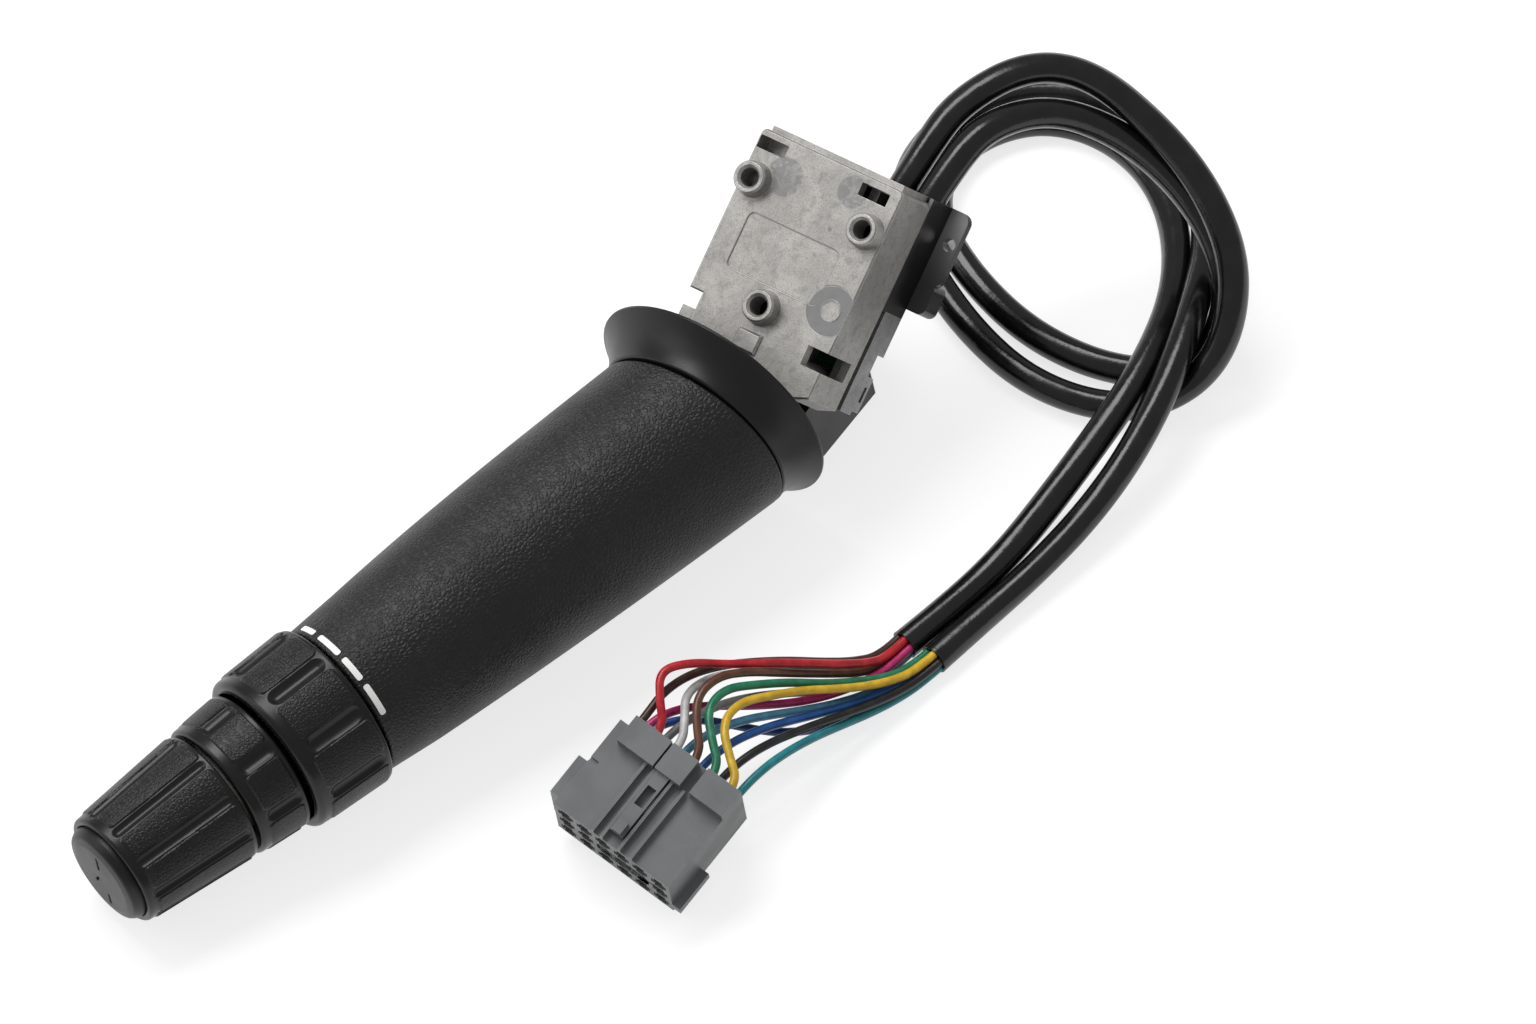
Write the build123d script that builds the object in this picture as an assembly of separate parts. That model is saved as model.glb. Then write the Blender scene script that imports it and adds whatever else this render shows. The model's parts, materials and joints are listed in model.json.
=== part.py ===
from build123d import *
import math
import os

# Combination stalk switch of a truck steering column, in millimetres.
# Plate frame: x across the fixing plate, y up the plate, z out of its front face.
# Lever frame: origin at the pivot, z towards the stalk, x across the plate.
# Stalk frame: origin at the bend, z towards the end button.
# Everything is turned at the end so that the switch lies on a table, +Z up.

# Fixing plate and front housing
PLATE_WIDTH = 36.8
PLATE_UP = 25.0
PLATE_DOWN = 25.0
PLATE_THICK = 3.0
CASE_WALL = 2.0
FRONT_DEPTH = 14.6
CORNER_ROUND = 1.4
EDGE_CHAMFER = 0.4
STEP_DOWN = 12.5
STEP_INSET = 3.4
POCKET_CLEARANCE = 0.5
CORNER_SLANT = 1.5
CORNER_RUN = 4.0
LIP_HEIGHT = 1.2
LIP_SETBACK = 1.6
LIP_SLOTS = ((-12.4, -4.5), (4.0, 9.6))
LIP_SLOT_FRONT = 3.0
LIP_SLOT_BACK = 8.0

# Fixing bosses with M5 threads
BOSS_CENTRES = ((-15.0, 14.0), (14.2, 14.0), (-0.3, -10.0))
BOSS_TOP_R = 3.65
BOSS_BASE_R = 4.05
BOSS_HEIGHT = 3.4
BOSS_EDGE = 0.4
THREAD_R = 2.1
MOUTH_CHAMFER = 0.6

# Windows, label field, round mark, lug, edge notch and low tab of the plate
WINDOW_CENTRES = ((-14.4, 22.0), (12.0, 21.8))
WINDOW_LENGTH = 7.2
WINDOW_HEIGHT = 2.9
WINDOW_DEPTH = 5.0
WINDOW_RIB_WIDTH = 2.2
LABEL_LEFT = -12.8
LABEL_RIGHT = 10.6
LABEL_LOW = -5.3
LABEL_HIGH = 7.7
LABEL_DEPTH = 0.3
LABEL_ROUND = 1.5
MARK_CENTRE = (14.2, -4.5)
MARK_OUTER_R = 5.6
MARK_INNER_R = 2.4
MARK_DEPTH = 0.2
LUG_WIDTH = 6.0
LUG_CENTRE = (-0.5, -17.8)
LUG_LENGTH = 4.6
LUG_HEIGHT = 0.9
LUG_EDGE = 0.5
NOTCH_LEFT = 13.0
NOTCH_LOW = -17.5
NOTCH_HIGH = -13.0
NOTCH_DEPTH = 3.6
NOTCH_SIDE_DEPTH = 12.0
TAB_REACH = 4.4
TAB_OVERLAP = 1.2
TAB_LOW = -20.0
TAB_HIGH = -16.4
TAB_DEPTH = 7.0

# Rear cover
COVER_LAP = 1.9
COVER_DEPTH = 25.0
COVER_SHALLOW = 22.0
COVER_STEP = -9.0
COVER_LOW = -23.0
COVER_FLOOR = 1.8
COVER_JOIN = 0.2
LATCH_LOW = -22.0
LATCH_HIGH = -14.0
LATCH_SLOT_MARGIN = 2.2
LATCH_SLOT_WIDTH = 1.2

# Cover screws, M3
SCREW_R = 1.4
SCREW_HEAD_R = 2.6
SCREW_HEAD_HEIGHT = 1.9
SCREW_HEAD_EDGE = 0.45
SCREW_LENGTH = 10.0
SCREW_DRIVE_LENGTH = 2.2
SCREW_DRIVE_WIDTH = 0.55
SCREW_DRIVE_DEPTH = 1.0
POST_R = 2.4
SCREW_BOX = (11.0, 5.5)
SCREW_TOP = (-15.0, 21.2)
SCREW_LOW = (11.0, -18.5)

# Circuit board and its fixed contacts
BOARD_THICK = 1.6
BOARD_LEFT = 7.0
BOARD_RIGHT = 14.2
BOARD_LOW = -15.5
BOARD_HIGH = 17.5
CONTACT_COUNT = 5
CONTACT_WIDTH = 1.2
CONTACT_LENGTH = 3.0
CONTACT_HEIGHT = 3.2
CONTACT_GAP = 1.6
CONTACT_START = 3.2
LEAD_R = 0.7
LEAD_LENGTH = 7.0
LEAD_PITCH = 1.5
LEAD_SHIFT = 0.8
LEAD_COUNT = 2

# Cable box
BOX_LEFT = 5.2
ENTRY_LEFT = 2.6
ENTRY_LOW = 18.6
BOX_HIGH = 26.2
BOX_WALL = 1.6
BOX_BACK_WALL = 0.8
ENTRY_LOW_WALL = 0.4
FLANGE_THICK = 2.0
FLANGE_REACH = 4.8
FLANGE_LOW = 9.0
FLANGE_ROUND = 2.2
FLANGE_HOLE_CENTRE = (21.2, 18.8)
FLANGE_HOLE_R = 1.5
LOBE_REACH = 4.2
LOBE_LOW = 2.5
LOBE_HIGH = 10.0
LOBE_DEPTH = 6.0
LOBE_ROUND = 1.8
SLEEVE_R = 3.35
SLEEVE_OFFSETS = (6.9, 14.2)
SLEEVE_BACK_GAP = 0.65
SLEEVE_INNER_END = 19.4
SLEEVE_STRAIGHT_END = 34.2
SLEEVE_HOLE_GAP = 0.05
GROMMET_LENGTH = 3.0
GROMMET_GAP = 0.02

# Lever geometry, measured in the plate frame
RIM_CENTRE = (-5.7, -31.6, -8.0)
LEVER_TILT = 28.0
STALK_BEND = 16.55
STALK_RISE = 0.735
RIM_TO_PIVOT = 20.0
PIVOT_TO_BEND = 38.0
TABLE_UP = (0.149, 0.506, 0.851)
TABLE_ALONG = (0.28028, 0.80273, -0.52637)

# Pivot body
TUNNEL_X = 8.7
TUNNEL_Y = 9.5
TUNNEL_WALL_X = 1.9
TUNNEL_WALL_Y = 2.9
TUNNEL_BACK = 30.0
TUNNEL_FRONT = 9.0
CHAMBER_X = 13.0
CHAMBER_Y = 22.0
CHAMBER_BACK = 16.0
CHAMBER_WALL = 2.0
FOOT_WIDTH = 2.6
FOOT_BACK = 14.0
FOOT_FRONT = 6.5
FOOT_REACH = 36.0
PLATE_CLEARANCE = 0.1

# Gimbal
PIN_R = 1.6
PIN_CLEARANCE = 0.05
YOKE_X = 7.4
YOKE_Y = 9.2
YOKE_HALF = 5.0
YOKE_WINDOW_X = 4.8
YOKE_WINDOW_Y = 6.2
GIMBAL_PIN_IN = 6.3
GIMBAL_PIN_OUT = 12.2
LEVER_PIN_IN = 3.4
LEVER_PIN_OUT = 7.2
WIPER_THICK = 0.5
WIPER_HALF_Y = 4.0
WIPER_HALF_Z = 1.5
TRACK_THICK = 0.5
TRACK_HALF_Y = 6.0
TRACK_HALF_Z = 4.0

# Lever root, plunger and detent
ROOT_X = 4.5
ROOT_Y = 5.0
ROOT_BACK = 8.0
ROOT_FRONT = 6.0
NECK_R = 5.0
NECK_LAP = 0.5
NECK_WIDE_R = 7.0
NECK_STEP = 23.0
SOCKET_R = 8.5
SOCKET_BACK = 6.0
SOCKET_FRONT = 16.0
TAIL_R = 3.5
TAIL_END = 16.0
PLUNGER_R = 1.7
PLUNGER_BORE_GAP = 0.05
PLUNGER_BACK = 11.0
PLUNGER_BORE_END = 6.0
DETENT_R = 20.0
DETENT_GAP = 0.1
DETENT_FRONT = 18.5
DETENT_ANGLES = (-7.5, 0.0, 7.5)
DETENT_GROOVE_R = 1.2
DETENT_GROOVE_SET = 0.6
SPRING_WIRE_R = 0.25
SPRING_TURNS = 5

# Collar
COLLAR_RIM_R = 28.1
COLLAR_MID_R = 24.4
COLLAR_NECK_R = 22.9
COLLAR_LENGTH = 9.6
COLLAR_MID = 4.9
COLLAR_NECK_SHIFT = 1.3
COLLAR_MID_SHIFT = 0.5
COLLAR_LIP = 0.7
COLLAR_WALL = 1.4
COLLAR_WEB = 1.8

# Handle and tube, along the stalk
HANDLE_GAP = 0.3
HANDLE_START = -19.0
HANDLE_END_R = 22.3
HANDLE_END_SHIFT = -1.4
HANDLE_SWELL = ((20.0, 21.6, -0.95), (50.0, 20.6, -0.6))
HANDLE_CONE_LENGTH = 13.0
HANDLE_CONE_R = 19.0
HANDLE_FRONT = 90.7
HANDLE_FRONT_R = 18.0
HANDLE_WALL = 2.4
HANDLE_WEB = 2.5
HANDLE_WEB_AT = 3.0
TUBE_R = 5.0
TUBE_BORE = 3.6
TUBE_START = -4.0
TUBE_PAST_CLIP = 1.0
BUSH_R = 6.5
BUSH_LENGTH = 3.6
MARK_SET = 1.75
MARK_WIDTH = 1.4
MARK_SINK = 0.3
MARK_PROUD = 0.03
MARK_CUT = 6.0
MARK_SPANS = ((111.0, 128.0), (83.0, 105.0), (59.5, 78.5), (31.0, 55.0))
CABLE_R = 2.0
CABLE_START = -3.0
CABLE_TO_STEM = 6.0

# Rings, knob and button
HUB_R = 8.0
HUB_CLEARANCE = 0.05
RING_WALL = 2.4
RING_EDGE = 0.5
RING_1_GAP = 0.8
RING_1_LENGTH = 19.4
RING_1_BACK_R = 19.7
RING_1_FRONT_R = 19.0
RING_1_WEB_SET = 8.5
RING_1_GRIPS = 9
RING_2_GAP = 0.9
RING_2_LENGTH = 12.7
RING_2_BACK_R = 17.0
RING_2_FRONT_R = 16.1
RING_2_WEB_SET = 5.0
RING_2_GRIPS = 8
KNOB_GAP = 0.8
KNOB_LENGTH = 27.8
KNOB_BACK_R = 15.75
KNOB_FRONT_R = 13.4
KNOB_WEB_SET = 3.8
KNOB_HUB_LENGTH = 14.3
KNOB_GRIPS = 8
WEB_THICK = 2.3
GRIP_RADIUS = 3.4
GRIP_DEPTH = 0.8
GRIP_MARGIN = 2.6
TRACK_DISC_THICK = 1.2
TRACK_DISC_R = 12.0
DISC_GAP = 0.15
WIPER_INNER_R = 9.0
WIPER_OUTER_R = 11.5
FINGER_R = 0.5
FINGER_COUNT = 3
CLIP_OUTER_R = 7.2
CLIP_THICK = 0.8
CLIP_GAP = 0.2
CLIP_OPENING = 5.0
BUTTON_R = 11.5
BUTTON_GAP = 0.15
BUTTON_PROUD = 2.9
BUTTON_DOME = 1.0
BUTTON_EDGE = 0.25
BUTTON_FLAT_R = 5.76
BUTTON_DISC = 4.0
BUTTON_SKIRT_LENGTH = 11.0
BUTTON_SKIRT_WALL = 1.8
BUTTON_STEM_GAP = 0.1
BUTTON_STEM_LENGTH = 28.0
BUTTON_TRAVEL = 3.0
BUTTON_SLOT_LENGTH = 2.6
BUTTON_SLOT_WIDTH = 0.8
BUTTON_SLOT_DEPTH = 0.4
BUTTON_SLOT_OFFSET = 5.2
BUTTON_SPRING_R = 4.3
BUTTON_SPRING_WIRE_R = 0.35
BUTTON_SPRING_TURNS = 4

# Connector
CONNECTOR_WIDTH = 31.0
CONNECTOR_HEIGHT = 17.5
CONNECTOR_DEPTH = 25.4
COLUMNS = 6
ROWS = 3
PITCH_X = 5.0
PITCH_Z = 5.5
FIRST_COLUMN = 3.0
FIRST_ROW = 2.9
CAVITY_WIDE = 4.0
CAVITY_NARROW = 2.3
CAVITY_TALL = 4.9
CAVITY_DEPTH = 14.0
WIRE_R = 0.95
WIRE_HOLE_R = 1.25
WIRE_HOLE_DEPTH = 6.5
DECK_START = 18.6
BLOCK_HEIGHT = 3.0
BLOCKS = ((2.8, 12.4), (12.9, 19.6), (22.2, 31.0))
SLAB_END = 2.2
SLAB_NOTCH = 12.0
SLAB_NOTCH_DEPTH = 0.6
RAIL_XS = (10.2, 12.6, 17.3, 20.5)
RAIL_WIDTH = 0.7
RAIL_HEIGHT = 1.6
LATCH_LEFT = 13.4
LATCH_RIGHT = 16.8
LATCH_RISE = 0.6
LATCH_THICK = 1.3
LATCH_FRONT = 2.5
LATCH_WINDOW = (10.0, 15.0)
LATCH_WINDOW_MARGIN = 0.6
HOOK_LENGTH = 3.0
HOOK_HEIGHT = 1.3
EAR_REACH = 2.1
EAR_LOW = 2.0
EAR_HIGH = 4.8
EAR_LENGTH = 10.0
SKID_HEIGHT = 1.2
SKIDS = ((0.0, 12.5), (15.0, 27.0))
RETAINER_REACH = 2.6
RETAINER_LOW = 1.0
RETAINER_HIGH = 16.0
RETAINER_FRONT = 2.0
RETAINER_BACK = 12.0
RETAINER_BAR = 1.6
RETAINER_WEB = 0.8
TERMINAL_WIDE = 3.6
TERMINAL_TALL = 1.9
TERMINAL_WALL = 0.3
TERMINAL_FRONT = 1.2
CRIMP_R = 0.95
FILLED = tuple((c, r) for r in (2, 1) for c in range(COLUMNS)) + ((0, 0),)
CONNECTOR_CORNER = (-100.3, -85.7)
CONNECTOR_YAW = -78.7
CONNECTOR_PITCH = 15.2
CONNECTOR_ROLL = 8.0

# Cord routes on the table, measured from the point under the plate's centre.
# An arc takes this share of the shorter of its two runs.
ARC_SHARE = 0.45
SLEEVE_ROUTES = {
    "sleeve_1": (
        (52.9, 4.3, 54.3), (68, -0.7, 53.1), (81.2, -10.3, 49.3), (89.6, -23.1, 43.1), (91.9, -37, 35.3), (88.2, -49.3, 26.3),
        (79.7, -57.5, 17.4), (68.4, -59.5, 9.9), (56.8, -54.8, 5.1), (47.4, -44.3, 3.4),
        (41.3, -30, 3.4), (39.2, -13.9, 3.9), (40.7, 2.4, 4.2), (45.9, 17.4, 4.3), (55, 29.5, 4.1),
        (67.3, 36.8, 3.9), (81.1, 38, 3.6), (93.7, 32.7, 3.4), (102.7, 22, 3.4), (106.5, 8.1, 3.9),
        (105.1, -6.8, 5.3), (99.5, -20.9, 7.7), (90.6, -33.1, 10.8), (79.5, -43.1, 13.5),
        (67.1, -51, 14.5), (53.8, -57.2, 13.2), (40, -62, 10.3), (25.8, -65.8, 7.1),
        (11.2, -68.9, 4.6), (-3.7, -71.4, 3.4), (-18.7, -73.2, 3.4),
    ),
    "sleeve_2": (
        (54.2, -3.7, 53.8), (68, -8.8, 49.7), (79.7, -17.5, 42.5), (86.8, -28.9, 33.4), (88, -40.9, 23.7), (83.3, -50.2, 14.8),
        (74, -53.4, 8.1), (63.2, -48.8, 4.4), (54, -37.9, 3.3), (48.3, -23, 3.5),
        (47.1, -6.7, 3.9), (50.2, 8.9, 4.2), (57.6, 21.6, 4.1), (68.4, 29.4, 3.9),
        (80.6, 30.6, 3.6), (91.2, 24.9, 3.4), (97.7, 13.8, 3.4), (98.7, -0.1, 4),
        (94.7, -14.2, 5.4), (86.9, -26.9, 7.6), (76.3, -37.2, 10), (64, -44.9, 11.7),
        (50.6, -50.4, 11.7), (36.7, -54.5, 9.8), (22.5, -57.9, 7.1), (8.2, -61, 4.8),
        (-6.4, -63.8, 3.4), (-21.1, -66.4, 3.4),
    ),
}
WIRE_ROUTES = {
    "wire_dark_brown": (
        (-92.01, -57.74, 22.08), (-83.78, -56.1, 24.37), (-76, -55.8, 24.4), (-68.6, -56.5, 22.6),
        (-61.5, -57.9, 19.6), (-54.5, -59.6, 16.1), (-47.4, -61.3, 12.6), (-40.4, -63.1, 9.2),
        (-33.7, -64.8, 6.3), (-27.31, -65.72, 4.41), (-21.41, -64.68, 4.41),
    ),
    "wire_red": (
        (-90.86, -62.56, 21.41), (-82.63, -60.92, 23.69), (-75.6, -59.8, 25.4), (-69.4, -59.5, 26),
        (-63.6, -60.1, 24.9), (-58.1, -61.5, 22.2), (-52.3, -63.5, 18.8), (-46.2, -65.4, 15),
        (-39.8, -66.9, 11.1), (-33.3, -67.6, 7.7), (-27.01, -67.45, 5.42), (-21.1, -66.4, 5.42),
    ),
    "wire_white": (
        (-89.71, -67.38, 20.74), (-81.48, -65.73, 23.02), (-74.2, -63.5, 24), (-67.7, -61.1, 23.6),
        (-61.5, -59.2, 21.9), (-55.5, -58.3, 19), (-49.9, -58.5, 15), (-44.4, -59.9, 10.6),
        (-38.9, -62.2, 6.7), (-33.2, -64.6, 3.8), (-27.31, -65.72, 2.39), (-21.41, -64.68, 2.39),
    ),
    "wire_brown": (
        (-88.56, -72.2, 20.07), (-80.33, -70.55, 22.35), (-73.2, -68, 24.5), (-66.8, -65.2, 25.8),
        (-60.7, -63, 25.4), (-54.9, -61.9, 23), (-49.5, -62.2, 18.7), (-44.3, -63.7, 13.6),
        (-38.9, -65.7, 8.7), (-33.1, -67.1, 5.1), (-27.01, -67.45, 3.4), (-21.1, -66.4, 3.4),
    ),
    "wire_green": (
        (-87.41, -77.02, 19.4), (-79.18, -75.37, 21.68), (-72.7, -72.5, 23.1),
        (-67.3, -69.3, 23.5), (-62.2, -66.8, 22.5), (-56.8, -65.7, 20.1), (-51, -66.2, 16.8),
        (-44.8, -67.7, 13), (-38.1, -69.7, 9.4), (-31.4, -71.4, 6.3), (-24.87, -72.18, 4.41),
        (-18.91, -71.46, 4.41),
    ),
    "wire_yellow": (
        (-86.26, -81.84, 18.73), (-78.03, -80.19, 21.01), (-71.6, -77.2, 22.3),
        (-66.3, -73.7, 22.6), (-61.3, -70.7, 21.6), (-56, -69.2, 19.4), (-50.2, -69.1, 16.4),
        (-44, -70.3, 13.1), (-37.6, -72, 9.8), (-31, -73.4, 7.1), (-24.66, -73.91, 5.42),
        (-18.7, -73.2, 5.42),
    ),
    "wire_magenta": (
        (-90.76, -56.71, 16.83), (-82.53, -55.07, 19.11), (-75.1, -56.1, 18.8),
        (-68.4, -58.8, 16.8), (-61.8, -62.2, 14.2), (-54.9, -65.3, 11.8), (-47.8, -67.7, 9.5),
        (-40.5, -69, 7.4), (-33.3, -69.5, 5.6), (-26.7, -69.17, 4.41), (-20.8, -68.12, 4.41),
    ),
    "wire_grey": (
        (-89.61, -61.53, 16.16), (-81.38, -59.88, 18.44), (-73.4, -59.9, 19), (-65.9, -60.9, 17.9),
        (-58.8, -62.5, 15.5), (-52, -64.2, 12.1), (-45.6, -66, 8.5), (-39.2, -67.7, 5.4),
        (-32.9, -68.9, 3.3), (-26.7, -69.17, 2.39), (-20.8, -68.12, 2.39),
    ),
    "wire_light_blue": (
        (-88.46, -66.35, 15.49), (-80.23, -64.7, 17.77), (-72.5, -64.7, 17.8),
        (-65.3, -65.7, 16.2), (-58.5, -67.3, 13.6), (-51.8, -68.9, 10.6), (-45, -70.2, 7.6),
        (-38.1, -71.2, 5.1), (-31.3, -71.9, 3.3), (-24.87, -72.18, 2.39), (-18.91, -71.46, 2.39),
    ),
    "wire_blue": (
        (-87.31, -71.17, 14.81), (-79.08, -69.52, 17.09), (-71.4, -69.1, 17.2),
        (-64.2, -69.6, 15.8), (-57.4, -70.5, 13.6), (-50.8, -71.5, 10.9), (-44.1, -72.4, 8.4),
        (-37.5, -73.3, 6.1), (-31, -73.8, 4.4), (-24.66, -73.91, 3.4), (-18.7, -73.2, 3.4),
    ),
    "wire_black": (
        (-86.16, -75.99, 14.14), (-77.93, -74.34, 16.42), (-70.3, -73.6, 16.6),
        (-63.2, -73.5, 15.2), (-56.5, -73.8, 13.1), (-49.9, -74.3, 10.9), (-43.4, -74.9, 8.8),
        (-37, -75.5, 6.9), (-30.6, -75.8, 5.4), (-24.45, -75.65, 4.41), (-18.49, -74.94, 4.41),
    ),
    "wire_teal": (
        (-85.01, -80.81, 13.47), (-76.78, -79.16, 15.75), (-68.8, -77.7, 15.6), (-61, -76.7, 13.6),
        (-53.4, -76, 10.7), (-45.8, -75.8, 7.6), (-38.4, -75.9, 5), (-31.2, -75.9, 3.2),
        (-24.45, -75.65, 2.39), (-18.49, -74.94, 2.39),
    ),
    "wire_dark_blue": (
        (-89.51, -55.68, 11.57), (-81.28, -54.03, 13.85), (-74.4, -55.6, 13.6),
        (-68.7, -59.3, 11.8), (-63.4, -63.6, 9.2), (-58, -67.6, 6.6), (-51.9, -70.5, 4.5),
        (-45.2, -72.5, 3), (-38.2, -73.6, 2), (-31.2, -74, 1.5), (-24.66, -73.91, 1.38),
        (-18.7, -73.2, 1.38),
    ),
}

CUT = 60.0


def block(x0, x1, y0, y1, z0, z1):
    """Block between two corners."""
    return Pos((x0 + x1) / 2, (y0 + y1) / 2, (z0 + z1) / 2) * Box(x1 - x0, y1 - y0, z1 - z0)


def rod(radius, z0, z1, x=0.0, y=0.0):
    """Round bar along z."""
    return Pos(x, y, (z0 + z1) / 2) * Cylinder(radius, z1 - z0)


def pipe(outer, inner, z0, z1, x=0.0, y=0.0):
    """Round bar along z with a through bore."""
    return rod(outer, z0, z1, x, y) - rod(inner, z0 - CUT, z1 + CUT, x, y)


def plate_shape(points, z0, z1):
    """Prism over an outline in the plate's own plane."""
    face = make_face(Polyline(*[(x, y, z0) for x, y in points], close=True))
    return extrude(face, z1 - z0, dir=(0, 0, 1))


def turned(points):
    """Solid of revolution about z from radius and height pairs."""
    return revolve(make_face(Polyline(*[(r, 0, z) for r, z in points], close=True)), Axis.Z)


def union(shapes):
    """All shapes as one."""
    result = shapes[0]
    for shape in shapes[1:]:
        result = result + shape
    return result


def spring(radius, wire, z0, z1, turns):
    """Round wire coil along z, its wire centre starting and ending one wire radius inside."""
    rise = z1 - z0 - 2 * wire
    path = Pos(0, 0, z0 + wire) * Helix(rise / turns, rise, radius)
    section = Plane(path @ 0, z_dir=path % 0) * Circle(wire)
    return sweep(section, path=path, is_frenet=True)


# Directions and frames

HALF_WIDTH = PLATE_WIDTH / 2
TILT = math.radians(LEVER_TILT)
LEVER_AXIS = Vector(0, -math.cos(TILT), math.sin(TILT))
PIVOT = Vector(*RIM_CENTRE) - LEVER_AXIS * RIM_TO_PIVOT
LEVER = Location(Plane(origin=PIVOT, x_dir=(1, 0, 0), z_dir=LEVER_AXIS))
STALK = LEVER * Pos(0, 0, PIVOT_TO_BEND) * Rot(0, -STALK_BEND, 0) * Rot(-STALK_RISE, 0, 0)
STALK_AXIS = Plane(STALK).z_dir
BEND_POINT = Plane(STALK).origin
UP = Vector(*TABLE_UP).normalized()
LEVEL = Vector(*TABLE_ALONG)
SLEEVE_DEPTH = COVER_DEPTH - BOX_BACK_WALL - SLEEVE_R - SLEEVE_BACK_GAP

# Stations along the stalk

MARK_AT = HANDLE_FRONT - MARK_SET
RING_1_BACK = HANDLE_FRONT + RING_1_GAP
RING_1_FRONT = RING_1_BACK + RING_1_LENGTH
RING_1_WEB = RING_1_BACK + RING_1_WEB_SET
RING_2_BACK = RING_1_FRONT + RING_2_GAP
RING_2_FRONT = RING_2_BACK + RING_2_LENGTH
RING_2_WEB = RING_2_BACK + RING_2_WEB_SET
KNOB_BACK = RING_2_FRONT + KNOB_GAP
KNOB_FRONT = KNOB_BACK + KNOB_LENGTH
KNOB_WEB = KNOB_BACK + KNOB_WEB_SET
KNOB_HUB_END = KNOB_BACK + KNOB_HUB_LENGTH
CLIP_AT = KNOB_HUB_END + CLIP_GAP
TUBE_END = CLIP_AT + CLIP_THICK + TUBE_PAST_CLIP
BUTTON_FACE = KNOB_FRONT + BUTTON_PROUD
BUTTON_STEM_END = BUTTON_FACE - BUTTON_STEM_LENGTH
CABLE_END = BUTTON_STEM_END - CABLE_TO_STEM


def lowest(centre, axis, radius):
    """Height along the table's normal of the lowest point of a circle."""
    return centre.dot(UP) - radius * math.sqrt(1 - axis.dot(UP) ** 2)


FLOOR = min(
    lowest(BEND_POINT + STALK_AXIS * RING_1_BACK, STALK_AXIS, RING_1_BACK_R),
    lowest(BEND_POINT + STALK_AXIS * (RING_1_FRONT - RING_EDGE), STALK_AXIS, RING_1_FRONT_R),
    lowest(BEND_POINT + STALK_AXIS * (RING_2_BACK + RING_EDGE), STALK_AXIS, RING_2_BACK_R),
    lowest(Vector(*RIM_CENTRE), LEVER_AXIS, COLLAR_RIM_R),
)


TABLE = Location(Plane(origin=UP * FLOOR, x_dir=LEVEL, z_dir=UP))


def above_floor(shape):
    """Part of a shape that stands above the table."""
    ground = Plane(origin=UP * FLOOR, z_dir=UP)
    return split(shape, bisect_by=ground, keep=Keep.TOP)


# Housing pieces, in the plate frame

def plate_outline():
    """Corners of the plate, clockwise from the upper left."""
    step_x = -HALF_WIDTH + STEP_INSET
    return (
        (-HALF_WIDTH, PLATE_UP), (HALF_WIDTH, PLATE_UP),
        (HALF_WIDTH, -PLATE_DOWN + CORNER_SLANT), (HALF_WIDTH - CORNER_RUN, -PLATE_DOWN),
        (step_x + CASE_WALL, -PLATE_DOWN), (step_x, -PLATE_DOWN + CASE_WALL),
        (step_x, -STEP_DOWN), (-HALF_WIDTH, -STEP_DOWN),
    )


def case_pocket():
    """Hollow behind the plate, open towards the lever."""
    inner = HALF_WIDTH - CASE_WALL
    tunnel_right = PIVOT.X + TUNNEL_X + TUNNEL_WALL_X + POCKET_CLEARANCE
    bottom = -PLATE_DOWN + CORNER_SLANT + CASE_WALL
    outline = (
        (-inner, PLATE_UP - CASE_WALL), (inner, PLATE_UP - CASE_WALL), (inner, bottom),
        (tunnel_right, bottom), (tunnel_right, -CUT), (-CUT, -CUT),
        (-CUT, -STEP_DOWN - CASE_WALL), (-inner, -STEP_DOWN - CASE_WALL),
    )
    return plate_shape(outline, -CUT, -PLATE_THICK)


def fixing_boss(centre):
    """Tapered boss on the front of the plate."""
    x, y = centre
    profile = (
        (0, -PLATE_THICK / 2), (BOSS_BASE_R, -PLATE_THICK / 2), (BOSS_BASE_R, 0),
        (BOSS_TOP_R, BOSS_HEIGHT - BOSS_EDGE), (BOSS_TOP_R - BOSS_EDGE, BOSS_HEIGHT), (0, BOSS_HEIGHT),
    )
    return Pos(x, y, 0) * turned(profile)


def boss_thread(centre):
    """Threaded hole through a boss and the plate, with a chamfered mouth."""
    x, y = centre
    mouth = THREAD_R + MOUTH_CHAMFER
    profile = (
        (0, -PLATE_THICK - 1), (THREAD_R, -PLATE_THICK - 1), (THREAD_R, BOSS_HEIGHT - MOUTH_CHAMFER),
        (mouth, BOSS_HEIGHT), (mouth, BOSS_HEIGHT + 1), (0, BOSS_HEIGHT + 1),
    )
    return Pos(x, y, 0) * turned(profile)


def top_lip():
    """Raised strip behind the plate's upper edge, with its slots."""
    lip = block(-HALF_WIDTH + CORNER_ROUND, HALF_WIDTH - CORNER_ROUND, PLATE_UP - CASE_WALL,
                PLATE_UP + LIP_HEIGHT, -FRONT_DEPTH, -LIP_SETBACK)
    for left, right in LIP_SLOTS:
        lip -= block(left, right, PLATE_UP, PLATE_UP + CUT, -LIP_SLOT_BACK, -LIP_SLOT_FRONT)
    return lip


def screw_post(centre, depth, radius=POST_R):
    """Post behind the plate that takes a cover screw."""
    return rod(radius, -depth, -PLATE_THICK / 2, *centre)


def plate_relief():
    """Shallow marks in the plate's face: label field and round mark."""
    label = extrude(RectangleRounded(LABEL_RIGHT - LABEL_LEFT, LABEL_HIGH - LABEL_LOW, LABEL_ROUND),
                    LABEL_DEPTH + 1)
    label = Pos((LABEL_LEFT + LABEL_RIGHT) / 2, (LABEL_LOW + LABEL_HIGH) / 2, -LABEL_DEPTH) * label
    mark = pipe(MARK_OUTER_R, MARK_INNER_R, -MARK_DEPTH, 1, *MARK_CENTRE)
    return label, mark


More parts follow.
